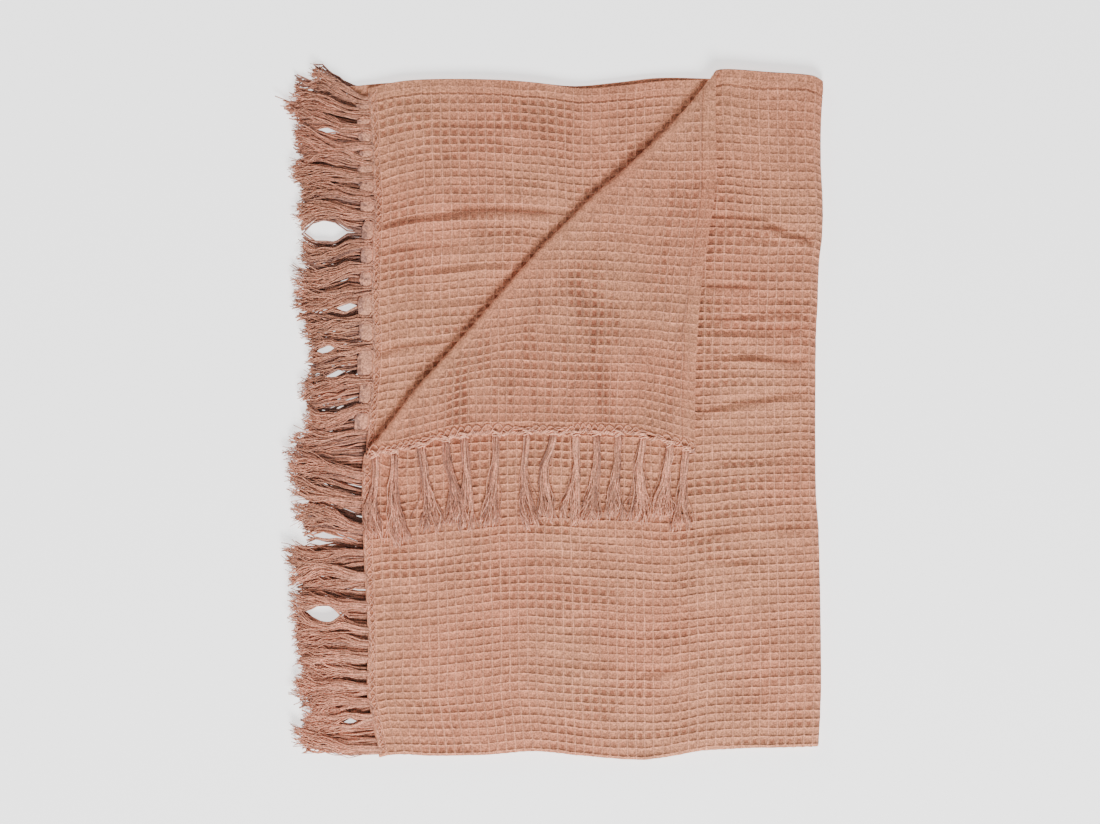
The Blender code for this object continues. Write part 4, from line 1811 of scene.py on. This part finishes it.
@dataclass
class Handful:
    """The yarns of one tassel, in strands, with the source of their unevenness.

    place is where each yarn's strand lies across the tassel and layer where it lies from its
    underside to its top, both from about -1 to 1. share holds shares of the length.
    """

    tassel: Tassel
    chance: np.random.RandomState
    strands: int
    yarns: int
    share: Array
    place: Array = field(init=False)
    layer: Array = field(init=False)

    def __post_init__(self) -> None:
        """Spread the strands over the tassel."""
        order = np.repeat(self.chance.permutation(self.strands), self.yarns)[:, None]
        self.place = (2 * order + 1) / self.strands - 1 + self.strand(-1.2, 1.2) / self.strands
        self.layer = self.strand(-1, 1)

    def strand(self, low: float, high: float) -> Array:
        """A random number for every strand, the same for all its yarns."""
        return np.repeat(self.chance.uniform(low, high, (self.strands, 1)), self.yarns, axis=0)

    def yarn(self, low: float, high: float) -> Array:
        """A random number for every yarn."""
        return self.chance.uniform(low, high, (self.strands * self.yarns, 1))


@dataclass(frozen=True)
class EdgeCord:
    """The twisted cord along an edge, and the two yarns that cross each other inside it.

    The cord runs on past the outer tassels by past, but stops within ends of the leaf's width.
    """

    pitch: float = 0.0075
    girth: float = 0.00075
    radius: float = 0.0006
    wobble: float = 0.5
    past: float = 0.009
    foot: float = 0.002
    head: float = 0.001
    step: float = 0.0011
    x: float = 0.0022
    z: float = 0.0014
    cross_pitch: float = 0.0185
    cross_x: float = 0.0058
    cross_z: float = 0.0019
    cross_wander: float = 0.0006
    cross_radius: float = 0.0005


LEAF_CORD = EdgeCord()
TURNED_CORD = EdgeCord(
    pitch=0.0105, girth=0.00150, radius=0.00115, wobble=0.9, foot=0.004, head=0.0005,
    x=-0.0014, z=-0.0002, cross_x=0.0024, cross_z=-0.0026, cross_wander=0.0007,
)


@dataclass
class FringeRow:
    """The tassels of one leaf's edge: its yarns, knots, edge cord and pads.

    Each tassel is a handful of strands, and each strand is a few yarns that part towards the tip.
    Widths, thick, sway, frizz, parting, stray_reach, foot_reach and gap_reach are in millimetres.
    The tassels near the foot are painted paler by up to foot_painted_light, as painted light from
    the foot's side. At an open place, gap_slack keeps a yarn's side clear where it doesn't come
    near, and gap_stretch is how far it's pushed aside.
    """

    name: str
    tassels: Sequence[Tassel]
    leaf: int
    seed: int
    turned: bool = False
    strands: int = 12
    yarns: int = 6
    steps: int = 12
    shade: float = 0.0
    width_root: float = 4.0
    width_middle: float = 7.0
    width_tip: float = 11.5
    thick: float = 2.2
    sway: float = 3.0
    frizz: float = 1.1
    parting: float = 2.0
    stretch: float = 1.0
    strays: float = 0.15
    stray_reach: float = 13
    contrast: float = 1.0
    pads_from: float = math.inf

    rest_pitch: float = 0.003
    lock_thickness: float = 0.0022
    yarn_radius: float = 0.00052
    fibre_radius: float = 0.00019
    landing: float = 0.3
    inside: float = 0.0015
    turned_rise: float = 0.0007
    turned_clearance: float = 0.0002
    floor_clearance: float = 0.0005
    fibre_clearance: float = 0.0003
    gap_reach: float = 4
    gap_slack: float = 1e-6
    gap_stretch: float = 2.3
    foot_reach: float = 240
    foot_painted_light: float = 0.17

    @property
    def cord_shape(self) -> EdgeCord:
        """The sizes of the cord along this edge."""
        return TURNED_CORD if self.turned else LEAF_CORD

    def root_of(self, tassel: Tassel) -> Array:
        """Find the root of a tassel.

        Args:
            tassel: The tassel.

        Returns:
            The place in the folding where it leaves the cloth.
        """
        if self.turned:
            return FOLDING.fold(np.array([[0.0, tassel.root * MM, 0.0]]))[0]
        return np.array([0.0, tassel.root * MM, -self.leaf * FOLDING.pitch])

    def directions(self) -> tuple[Array, Array]:
        """Find which way the tassels hang.

        Returns:
            The direction out of the edge, and the one along it.
        """
        if self.turned:
            return np.array([0.0, -1.0]), np.array([1.0, 0.0])
        return np.array([-1.0, 0.0]), np.array([0.0, 1.0])

    def rest_height(self) -> float:
        """Find how high the tassels come to rest.

        Returns:
            The height over the middle of leaf 1.
        """
        if self.turned:
            return (FOLDING.thickness + self.lock_thickness) / 2 + self.turned_rise
        under = FOLDING.leaves - 1 - self.leaf
        return FOLDING.floor + under * self.rest_pitch + self.lock_thickness / 2

    def half_width(self, share: Array) -> Array:
        """Find half the width of a tassel.

        Args:
            share: Shares of its length.

        Returns:
            Half its width there.
        """
        widened = smooth(share / 0.4)
        middle = self.width_root + (self.width_middle - self.width_root) * widened
        opens_from = 0.55 if self.turned else 0.3
        opening = smooth((share - opens_from) / (1 - opens_from))
        return (middle + (self.width_tip - self.width_middle) * opening) * MM

    def tassel_paths(
        self, tassel: Tassel, chance: np.random.RandomState
    ) -> tuple[Array, Array, Array]:
        """Lay out the yarns of one tassel.

        Args:
            tassel: The tassel.
            chance: The source of its unevenness.

        Returns:
            The yarns' paths, radii and paleness.
        """
        root = self.root_of(tassel)
        out, along = self.directions()
        strands = self.strands if tassel.fan else self.strands * 2 // 3
        share = np.linspace(0, 1, self.steps)[None, :] ** 0.9
        hand = Handful(tassel, chance, strands, self.yarns, share)
        length = self.stretch * tassel.length * MM * hand.strand(0.92, 1.03)
        length = length * hand.yarn(0.96, 1.02)
        aside, rise = self.strays_of(hand)
        aside += (tassel.tip * MM - root[:2] @ along) * smooth(share)
        spot = root[:2] + out * (share * length - self.inside)[..., None]
        spot = spot + along * aside[..., None]
        height = self.heights_of(hand, root[2], rise)
        lowest = FOLDING.floor + self.floor_clearance
        if self.turned:
            lowest = FOLDING.thickness / 2 + self.turned_clearance
        paths = np.concatenate([spot, np.maximum(height, lowest)[..., None]], axis=2)
        taper = 1 - 0.2 * smooth((share - 0.6) / 0.4)
        radii = self.yarn_radius * hand.yarn(0.75, 1.2) * taper
        return self.part_at_gaps(paths), radii, self.paleness(hand)

    def strays_of(self, hand: Handful) -> tuple[Array, Array]:
        """Let the yarns sway, curl and part on their way to the tip.

        Args:
            hand: The tassel's yarns.

        Returns:
            How far each yarn lies aside, and how far it rises over its strand's middle.
        """
        chance, place, share = hand.chance, hand.place, hand.share
        parted = np.sign(place) * hand.tassel.fan * 0.4 * MM * smooth((share - 0.4) / 0.6)
        bow = chance.uniform(-1, 1)
        waves = share * chance.uniform(1.1, 1.9) + chance.uniform(0, 1)
        bend = bow * np.sin(math.pi * waves)
        bend = self.sway * MM * (bend - bend[:, :1]) * np.minimum(share * 2.5, 1)
        wave = hand.strand(0.5, 1.0) * self.sway * 0.7 * MM
        wave = wave * np.sin(TAU * (share * hand.strand(0.7, 1.6) + hand.strand(0, 1)))
        strayed = (hand.yarn(0, 1) < self.strays) * hand.yarn(-1, 1)
        curl = self.frizz * (0.35 + 1.9 * share**1.5) * MM
        curl = curl * np.sin(TAU * (share * hand.yarn(2.2, 4.2) + hand.yarn(0, 1)))
        twist = hand.yarn(0, TAU) + TAU * share * hand.strand(-1.6, 1.6)
        opened = (0.75 + self.parting * share**2 * hand.strand(0.5, 1.3)) * MM
        aside = place * self.half_width(share) + parted + bend + wave * share
        loose = opened * np.cos(twist) + curl * np.minimum(share * 5, 1)
        loose = loose + strayed * self.stray_reach * MM * share**1.2
        return aside + loose, 0.6 * opened * np.sin(twist)

    def heights_of(self, hand: Handful, root: float, rise: Array) -> Array:
        """Let the yarns come down from the edge of the cloth, and lie over each other.

        Args:
            hand: The tassel's yarns.
            root: The height of its root.
            rise: How far each yarn rises over its strand's middle.

        Returns:
            The yarns' heights.
        """
        share, rest = hand.share, self.rest_height()
        landing = self.landing if self.leaf == FOLDING.leaves - 1 else 1.0
        level = rest + (root - rest) * np.maximum(1 - share / landing, 0)
        bulk = self.thick * MM * (1.1 - 0.4 * share)
        dome = np.sqrt(np.maximum(1 - hand.place**2, 0.1))
        height = level + hand.layer * dome * bulk + rise + 0.4 * bulk * share
        swell = np.sin(TAU * (share * hand.strand(1.0, 2.4) + hand.strand(0, 1)))
        return height + 0.6 * MM * swell * share

    def paleness(self, hand: Handful) -> Array:
        """Choose how pale the yarns are: painted light makes them paler on top, towards the tip and
        near the foot, and painted shade darker at a tassel's sides and by the row's shade, besides
        their random tones.

        Args:
            hand: The tassel's yarns.

        Returns:
            The paleness of each yarn, from 0 to 1.
        """
        # Painted light and shade: paler on the top layer, towards the tip and near the foot, darker
        # at the tassel's sides and by the row's shade; the rest is random tone.
        pale = 0.46 + 0.18 * hand.layer + hand.strand(-0.14, 0.14)
        pale = pale + self.contrast * hand.yarn(-0.34, 0.20)
        pale = pale + hand.chance.uniform(-0.06, 0.06)
        if not self.turned:
            pale = pale + self.foot_painted_light * max(1 - hand.tassel.root / self.foot_reach, 0)
        pale = pale + 0.30 * (hand.yarn(0, 1) < 0.16) - 0.26 * np.abs(hand.place) ** 3
        pale = pale + 0.08 * hand.share - self.shade
        return np.clip(pale, 0.07 if self.turned else 0, 1) * np.ones_like(hand.share)

    def part_at_gaps(self, paths: Array) -> Array:
        """Push the yarns aside where they would cross an open place of the fringe.

        Args:
            paths: The yarns' paths.

        Returns:
            The paths, parted round each open place.
        """
        x, y = paths[:, :, 0] / MM, paths[:, :, 1] / MM
        for gap in () if self.turned else GAPS:
            middle, half = (gap.y_from + gap.y_to) / 2, (gap.y_to - gap.y_from) / 2
            reach = (gap.x_to - gap.x_from) / 2 + self.gap_reach
            along = (x - (gap.x_from + gap.x_to) / 2) / reach
            near = smooth(1.4 - np.abs(along))
            off = y - middle
            weight = near + self.gap_slack
            side = np.where((off * weight).sum(axis=1, keepdims=True) >= 0, 1.0, -1.0)
            kept = 0.5 * (side * off + np.sqrt(off * off + (self.gap_stretch * half) ** 2))
            y = middle + side * (side * off + near * (kept - side * off))
        parted = paths.copy()
        parted[:, :, 1] = y * MM
        return parted

    def wisps(self, paths: Array, chance: np.random.RandomState) -> tuple[Array, Array, Array]:
        """Fray fine fibres off the tips of some yarns.

        Args:
            paths: The yarns' paths.
            chance: The source of their unevenness.

        Returns:
            The fibres' paths, radii and paleness.
        """
        picked = paths[chance.permutation(len(paths))[: len(paths) // 2]]
        start, course = picked[:, -2], picked[:, -1] - picked[:, -2]
        share = np.linspace(0, 1, 5)[None, :, None]
        reach = chance.uniform(0.3, 0.8, (len(picked), 1, 1))
        aside = chance.uniform(-1, 1, (len(picked), 1, 3)) * np.array([1, 1, 0.25]) * 0.0045
        curl = chance.uniform(-1, 1, (len(picked), 1, 3)) * np.array([1, 1, 0.1]) * 0.0022
        fibres = start[:, None] + course[:, None] * share * reach + aside * share**2
        fibres += curl * np.sin(share * 5)
        lowest = FOLDING.floor + self.fibre_clearance
        fibres[:, :, 2] = np.maximum(fibres[:, :, 2], lowest)
        radii = self.fibre_radius * (1 - 0.5 * share[:, :, 0]) * np.ones((len(picked), 1))
        return fibres, radii, np.full(radii.shape, max(0.5 - self.shade, 0.0))

    def knot(self, tassel: Tassel, basket: YarnBasket, chance: np.random.RandomState) -> None:
        """Wrap a few turns of yarn round the root of a tassel.

        Args:
            tassel: The tassel.
            basket: Where the yarn goes.
            chance: The source of its unevenness.
        """
        root = self.root_of(tassel)
        out, along = self.directions()
        turn = np.linspace(-0.35, math.pi + 0.35, 9)
        turns, pitch, height, radius = 4, 0.0013, 3.9 * MM, 0.0008
        paths = np.empty((turns, len(turn), 3))
        for count in range(turns):
            lead = 0.0005 + pitch * count + chance.uniform(-0.0006, 0.0006)
            wide = (4.7 + chance.uniform(-0.6, 0.6)) * MM
            lean = chance.uniform(-1, 1) * 0.0016
            forth = lead + 0.0010 * np.sin(turn * 2 + count) + lean * np.cos(turn)
            spot = root[:2] + out * forth[:, None] + along * (wide * np.cos(turn))[:, None]
            paths[count, :, :2] = spot
            paths[count, :, 2] = root[2] + height * np.sin(turn)
        radii = np.full((turns, len(turn)), radius)
        # The knot is paler than the yarns: a painted highlight on its raised turns.
        basket.lay(paths, radii, 5, np.full(radii.shape, 0.78 - self.shade), self.leaf)

    def along_edge(self, x: Array, at: Array, z: Array) -> Array:
        """Place a yarn that runs along the edge.

        Args:
            x: Its distances from the edge in the flat cloth.
            at: Its distances from the foot.
            z: Its heights.

        Returns:
            The places in the folding.
        """
        flat = np.column_stack([x, at, z])
        return FOLDING.fold(flat) if self.turned else flat

    def cord(self, basket: YarnBasket) -> None:
        """Lay the twisted cord of the last knotted threads along the cloth's edge.

        Args:
            basket: Where the yarns go.
        """
        shape = self.cord_shape
        roots = sorted(tassel.root * MM for tassel in self.tassels)
        low, high = FOLDING.turn_foot + shape.foot, FOLDING.leaf_width - shape.head
        if not self.turned:
            low, high = max(roots[0] - shape.past, shape.foot), min(roots[-1] + shape.past, high)
        at = np.linspace(low, high, int((high - low) / shape.step))
        wobble = shape.wobble * shape.girth * (np.sin(at / 0.0093) + np.sin(at / 0.0037 + 1))
        level = shape.z - self.leaf * FOLDING.pitch
        paths = []
        for strand in range(3):
            turn = at / shape.pitch * TAU + strand * TAU / 3
            turn = turn + 1.1 * np.sin(at / 0.017) + 0.5 * np.sin(at / 0.0063)
            round_by = shape.girth * (1 + 0.3 * np.sin(at / 0.0051 + strand * 2))
            x = shape.x + wobble + round_by * np.cos(turn)
            paths.append(self.along_edge(x, at, level + round_by * np.sin(turn)))
        radii = np.full((3, len(at)), shape.radius)
        strands = np.array([[-0.3], [0.0], [0.15]])
        pale = 0.42 + 0.18 * np.sin(at / 0.011)[None, :] + strands - self.shade
        basket.lay(np.stack(paths), radii, 5, np.clip(pale, 0, 1), self.leaf)
        self.crossings(at, basket)

    def crossings(self, at: Array, basket: YarnBasket) -> None:
        """Lay the two yarns that cross each other in a row of small crosses inside the edge.

        Args:
            at: The distances from the foot, along the edge.
            basket: Where the yarns go.
        """
        shape = self.cord_shape
        turn = at / shape.cross_pitch * TAU + 1.7 * np.sin(at / 0.031) + 0.7 * np.sin(at / 0.012)
        wide, rise = 0.0026, 0.0004
        if self.turned:
            wide = 0.0034 + 0.0017 * np.sin(at / 0.0231) + 0.0012 * np.sin(at / 0.0087 + 1)
            rise = -rise
        level = shape.cross_z - self.leaf * FOLDING.pitch
        paths = []
        for side in (-1, 1):
            x = shape.cross_x + side * wide * np.sin(turn)
            x = x + shape.cross_wander * np.sin(at / 0.0043 + side)
            paths.append(self.along_edge(x, at, level + side * rise * np.cos(turn)))
        radii = np.full((2, len(at)), shape.cross_radius)
        basket.lay(np.stack(paths), radii, 4, np.full(radii.shape, 0.62 - self.shade), self.leaf)

    def pad(
        self, middle: float, half: float, basket: YarnBasket, chance: np.random.RandomState
    ) -> None:
        """Set a rounded tab of plain weave between two tassels, with a twisted yarn round it.

        Args:
            middle: Its distance from the foot.
            half: Half its width.
            basket: Where it goes.
            chance: The source of its unevenness.
        """
        rings, spokes = 8, 36
        reach = chance.uniform(13.0, 17.5) * MM
        lean = chance.uniform(-0.15, 0.15)
        centre, long, crown = -reach * 0.42, reach * 0.54, 0.0015
        level = -self.leaf * FOLDING.pitch - 0.0002
        turn = np.linspace(0, TAU, spokes, endpoint=False)
        square = (np.abs(np.cos(turn)) ** 3 + np.abs(np.sin(turn)) ** 3) ** (-1 / 3)
        outline = Ripple(51, 0.5, 0.5).at(2 * np.cos(turn), 2 * np.sin(turn) + middle * 70)
        square *= 1 + 0.10 * outline
        points = [np.array([[centre, middle, 0.0013]])]
        for ring in range(1, rings + 1):
            share = ring / rings
            x = centre + long * share * square * np.cos(turn)
            y = middle + half * share * square * np.sin(turn) + lean * x
            ribs = 0.00045 * np.sin(TAU * x / 0.0042) * np.sin(TAU * y / 0.0052)
            ribs = ribs * (1 - share**6) + 0.0003 * Ripple(52, 0.0025, 0.0016).at(x, y)
            points.append(np.column_stack([x, y, crown * np.sqrt(1 - share**2) + ribs]))
        count = 1 + rings * spokes
        points.append(np.array([[centre, middle, -0.0009]]))
        every = np.concatenate(points) + np.array([0, 0, level])
        index = 1 + np.arange(rings * spokes).reshape(rings, spokes)
        after = np.roll(index, -1, axis=1)
        quads = np.stack([index[:-1], index[1:], after[1:], after[:-1]], axis=-1).reshape(-1, 4)
        top = np.stack([np.zeros(spokes, int), index[0], after[0]], axis=-1)
        base = np.stack([np.full(spokes, count), after[-1], index[-1]], axis=-1)
        faces = Faces.joined([Faces.even(quads), Faces.even(top), Faces.even(base)])
        # Painted shade: the tab darkens towards its left end, under the tassels; the ripple adds
        # random tone.
        from_left = np.clip((every[:, 0] + reach) / reach, 0, 1)
        pale = 0.42 * from_left + 0.28 * Ripple(53, 0.003, 0.002).at(every[:, 0], every[:, 1])
        pale = np.clip(pale + chance.uniform(-0.05, 0.10) - self.shade, 0, 1)
        basket.add(every, faces, every[:, :2] / 0.004, pale, self.leaf)
        arc = np.linspace(-2.0, 2.0, 30)
        gap, girth, radius = 0.0018, 0.0005, 0.00055
        paths = []
        for strand in range(2):
            twist = arc * 8 + strand * math.pi
            x = centre + (long + gap + girth * np.cos(twist)) * np.cos(arc)
            y = middle + (half + 0.0008 + girth * np.cos(twist)) * np.sin(arc) + lean * x
            paths.append(np.column_stack([x, y, level + 0.0016 + girth * np.sin(twist)]))
        radii = np.full((2, len(arc)), radius)
        basket.lay(np.stack(paths), radii, 4, np.full(radii.shape, 0.46 - self.shade), self.leaf)

    def build(self) -> bpy.types.Object:
        """Build the row of tassels.

        Returns:
            The row's object.
        """
        basket, chance = YarnBasket(), np.random.RandomState(self.seed)
        for tassel in self.tassels:
            paths, radii, pale = self.tassel_paths(tassel, chance)
            basket.lay(paths, radii, 3, pale, self.leaf)
            fibres, fine, fibre_pale = self.wisps(paths, chance)
            basket.lay(fibres, fine, 3, fibre_pale, self.leaf)
            if self.turned:
                self.knot(tassel, basket, chance)
        self.cord(basket)
        roots = sorted(tassel.root for tassel in self.tassels if tassel.root > self.pads_from)
        for low, high in zip(roots, roots[1:]):
            half = max((high - low) / 2 - 3.2, 3.5)
            self.pad((low + high) / 2 * MM, half * MM, basket, chance)
        return basket.build(self.name)


@dataclass
class Fringe:
    """Both fringed ends: the tassels of every leaf and of the turned corner."""

    pieces: dict[str, bpy.types.Object] = field(default_factory=dict)

    def rows(self) -> list[tuple[FringeRow, str]]:
        """Plan the rows of tassels.

        Returns:
            The rows, each with the solid that it stands for.
        """
        at_fold = Tassel(333, 336, 84, 0)
        both = [*LEAF_1_TASSELS, at_fold, *LEAF_2_TASSELS]
        second = under_tassels(LEAF_1_TASSELS, 2, -6) + LEAF_2_TASSELS
        hidden = dict(
            strands=19, yarns=3, steps=7, width_root=14.5, width_middle=14.5, width_tip=12.0,
            sway=2.5, yarn_radius=0.00115,
        )
        rows = [
            FringeRow("fringe_lower", under_tassels(both, 4), 3, 14, shade=0.34, **hidden),
            FringeRow("fringe_third", under_tassels(both, 3, -12), 2, 13, shade=0.26, **hidden),
            FringeRow(
                "fringe_second", second, 1, 12, strands=11, width_middle=6.4, width_tip=8.6,
                thick=2.6, sway=4.2, shade=0.05, pads_from=325,
            ),
            FringeRow(
                "fringe_upper", LEAF_1_TASSELS, 0, 11, width_middle=5.6, width_tip=7.2, thick=2.8,
                sway=4.6, shade=-0.06, contrast=1.3,
            ),
            FringeRow(
                "fringe_turned", FLAP_TASSELS, 0, 15, turned=True, strands=9, yarns=5,
                width_root=3.4, width_middle=3.0, width_tip=8.0, thick=2.7, sway=4.4, frizz=0.8,
                parting=1.7, stretch=1.13, shade=-0.06, strays=0.08, contrast=1.8,
                yarn_radius=0.00062,
            ),
        ]
        return [(row, "fringe_end_b" if row.leaf > 1 else "fringe_end_a") for row in rows]

    def build(self) -> None:
        """Build the rows of tassels, and set each in place of its solid."""
        for row, node in self.rows():
            made = row.build()
            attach(made, BODY)
            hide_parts(node)
            self.pieces[made.name] = made
            report(made)

    def dress(self, finish: bpy.types.Material) -> None:
        """Give every row its finish.

        Args:
            finish: The yarn's material.
        """
        for made in self.pieces.values():
            made.data.materials.append(finish)


class SoftLight(NamedTuple):
    """A soft square light: its name, its place, the length of its side and its power in watts."""

    name: str
    place: tuple[float, float, float]
    side: float
    power: float


@dataclass
class Studio:
    """The plain pale floor, the soft light and the camera.

    The camera looks straight down from its height, and the photograph's width is what 1100
    pixels of 1.1 mm show at the top of the pile.
    """

    look_x: float = 0.0019
    look_y: float = 0.0032
    height: float = 3.2
    pile: float = 0.012
    photo_width: float = 1100 * 1.1 * MM
    sensor: float = 36
    floor_side: float = 12
    floor_level: float = -0.0004
    floor_tone: float = 0.88
    floor_glow: float = 1.3
    sky: float = 0.30
    lights: tuple[SoftLight, ...] = (
        SoftLight("key", (0.48, -3.05, 2.75), 1.7, 332),
        SoftLight("fill", (-1.7, 2.2, 1.2), 1.4, 34),
    )

    def build_camera(self) -> None:
        """Set the camera straight above, with the photograph's frame."""
        lens = bpy.data.cameras.new("camera")
        lens.sensor_width = self.sensor
        lens.lens = self.sensor * (self.height - self.pile) / self.photo_width
        camera = bpy.data.objects.new("camera", lens)
        camera.location = (self.look_x, self.look_y, self.height)
        bpy.context.collection.objects.link(camera)
        bpy.context.scene.camera = camera

    def build_floor(self) -> None:
        """Lay a plain pale floor."""
        bpy.ops.mesh.primitive_plane_add(size=self.floor_side, location=(0, 0, self.floor_level))
        floor = bpy.context.object
        floor.name = "floor"
        pale = bpy.data.materials.new("pale floor")
        pale.use_nodes = True
        shader = pale.node_tree.nodes["Principled BSDF"]
        shader.inputs["Base Color"].default_value = (*[self.floor_tone] * 3, 1)
        shader.inputs["Roughness"].default_value = 0.9
        shader.inputs["Emission Color"].default_value = (1, 1, 1, 1)
        shader.inputs["Emission Strength"].default_value = self.floor_glow
        floor.data.materials.append(pale)

    def build_light(self) -> None:
        """Light it softly from all around and from the soft lights, mostly from the foot."""
        world = bpy.data.worlds.new("studio")
        world.use_nodes = True
        background = world.node_tree.nodes["Background"]
        background.inputs["Color"].default_value = (1, 1, 1, 1)
        background.inputs["Strength"].default_value = self.sky
        bpy.context.scene.world = world
        for soft in self.lights:
            light = bpy.data.lights.new(soft.name, "AREA")
            light.shape, light.size, light.energy = "SQUARE", soft.side, soft.power
            lamp = bpy.data.objects.new(soft.name, light)
            lamp.location = soft.place
            lamp.rotation_euler = (-Vector(soft.place)).to_track_quat("-Z", "Y").to_euler()
            bpy.context.collection.objects.link(lamp)

    def build(self) -> None:
        """Build the whole studio."""
        self.build_camera()
        self.build_floor()
        self.build_light()


def report(made: bpy.types.Object) -> None:
    """Say what was built, and how many triangles it has.

    Args:
        made: The piece.
    """
    triangles = sum(len(face.vertices) - 2 for face in made.data.polygons)
    log.info("%s: %d triangles", made.name, triangles)


def main() -> None:
    """Build the blanket and its studio."""
    logging.basicConfig(level=logging.INFO, format="%(message)s")
    bpy.ops.object.select_all(action="DESELECT")
    effects = Effects(CottonDyeAndLight().group(), ThreadRelief().group(), WaffleRelief().group())
    studio = Studio()
    studio.build()
    cloth = Cloth()
    cloth.build()
    cloth.dress(CLOTH_FINISH.material(effects))
    fringe = Fringe()
    fringe.build()
    fringe.dress(YARN_FINISH.material(effects))


if __name__ == "__main__":
    main()
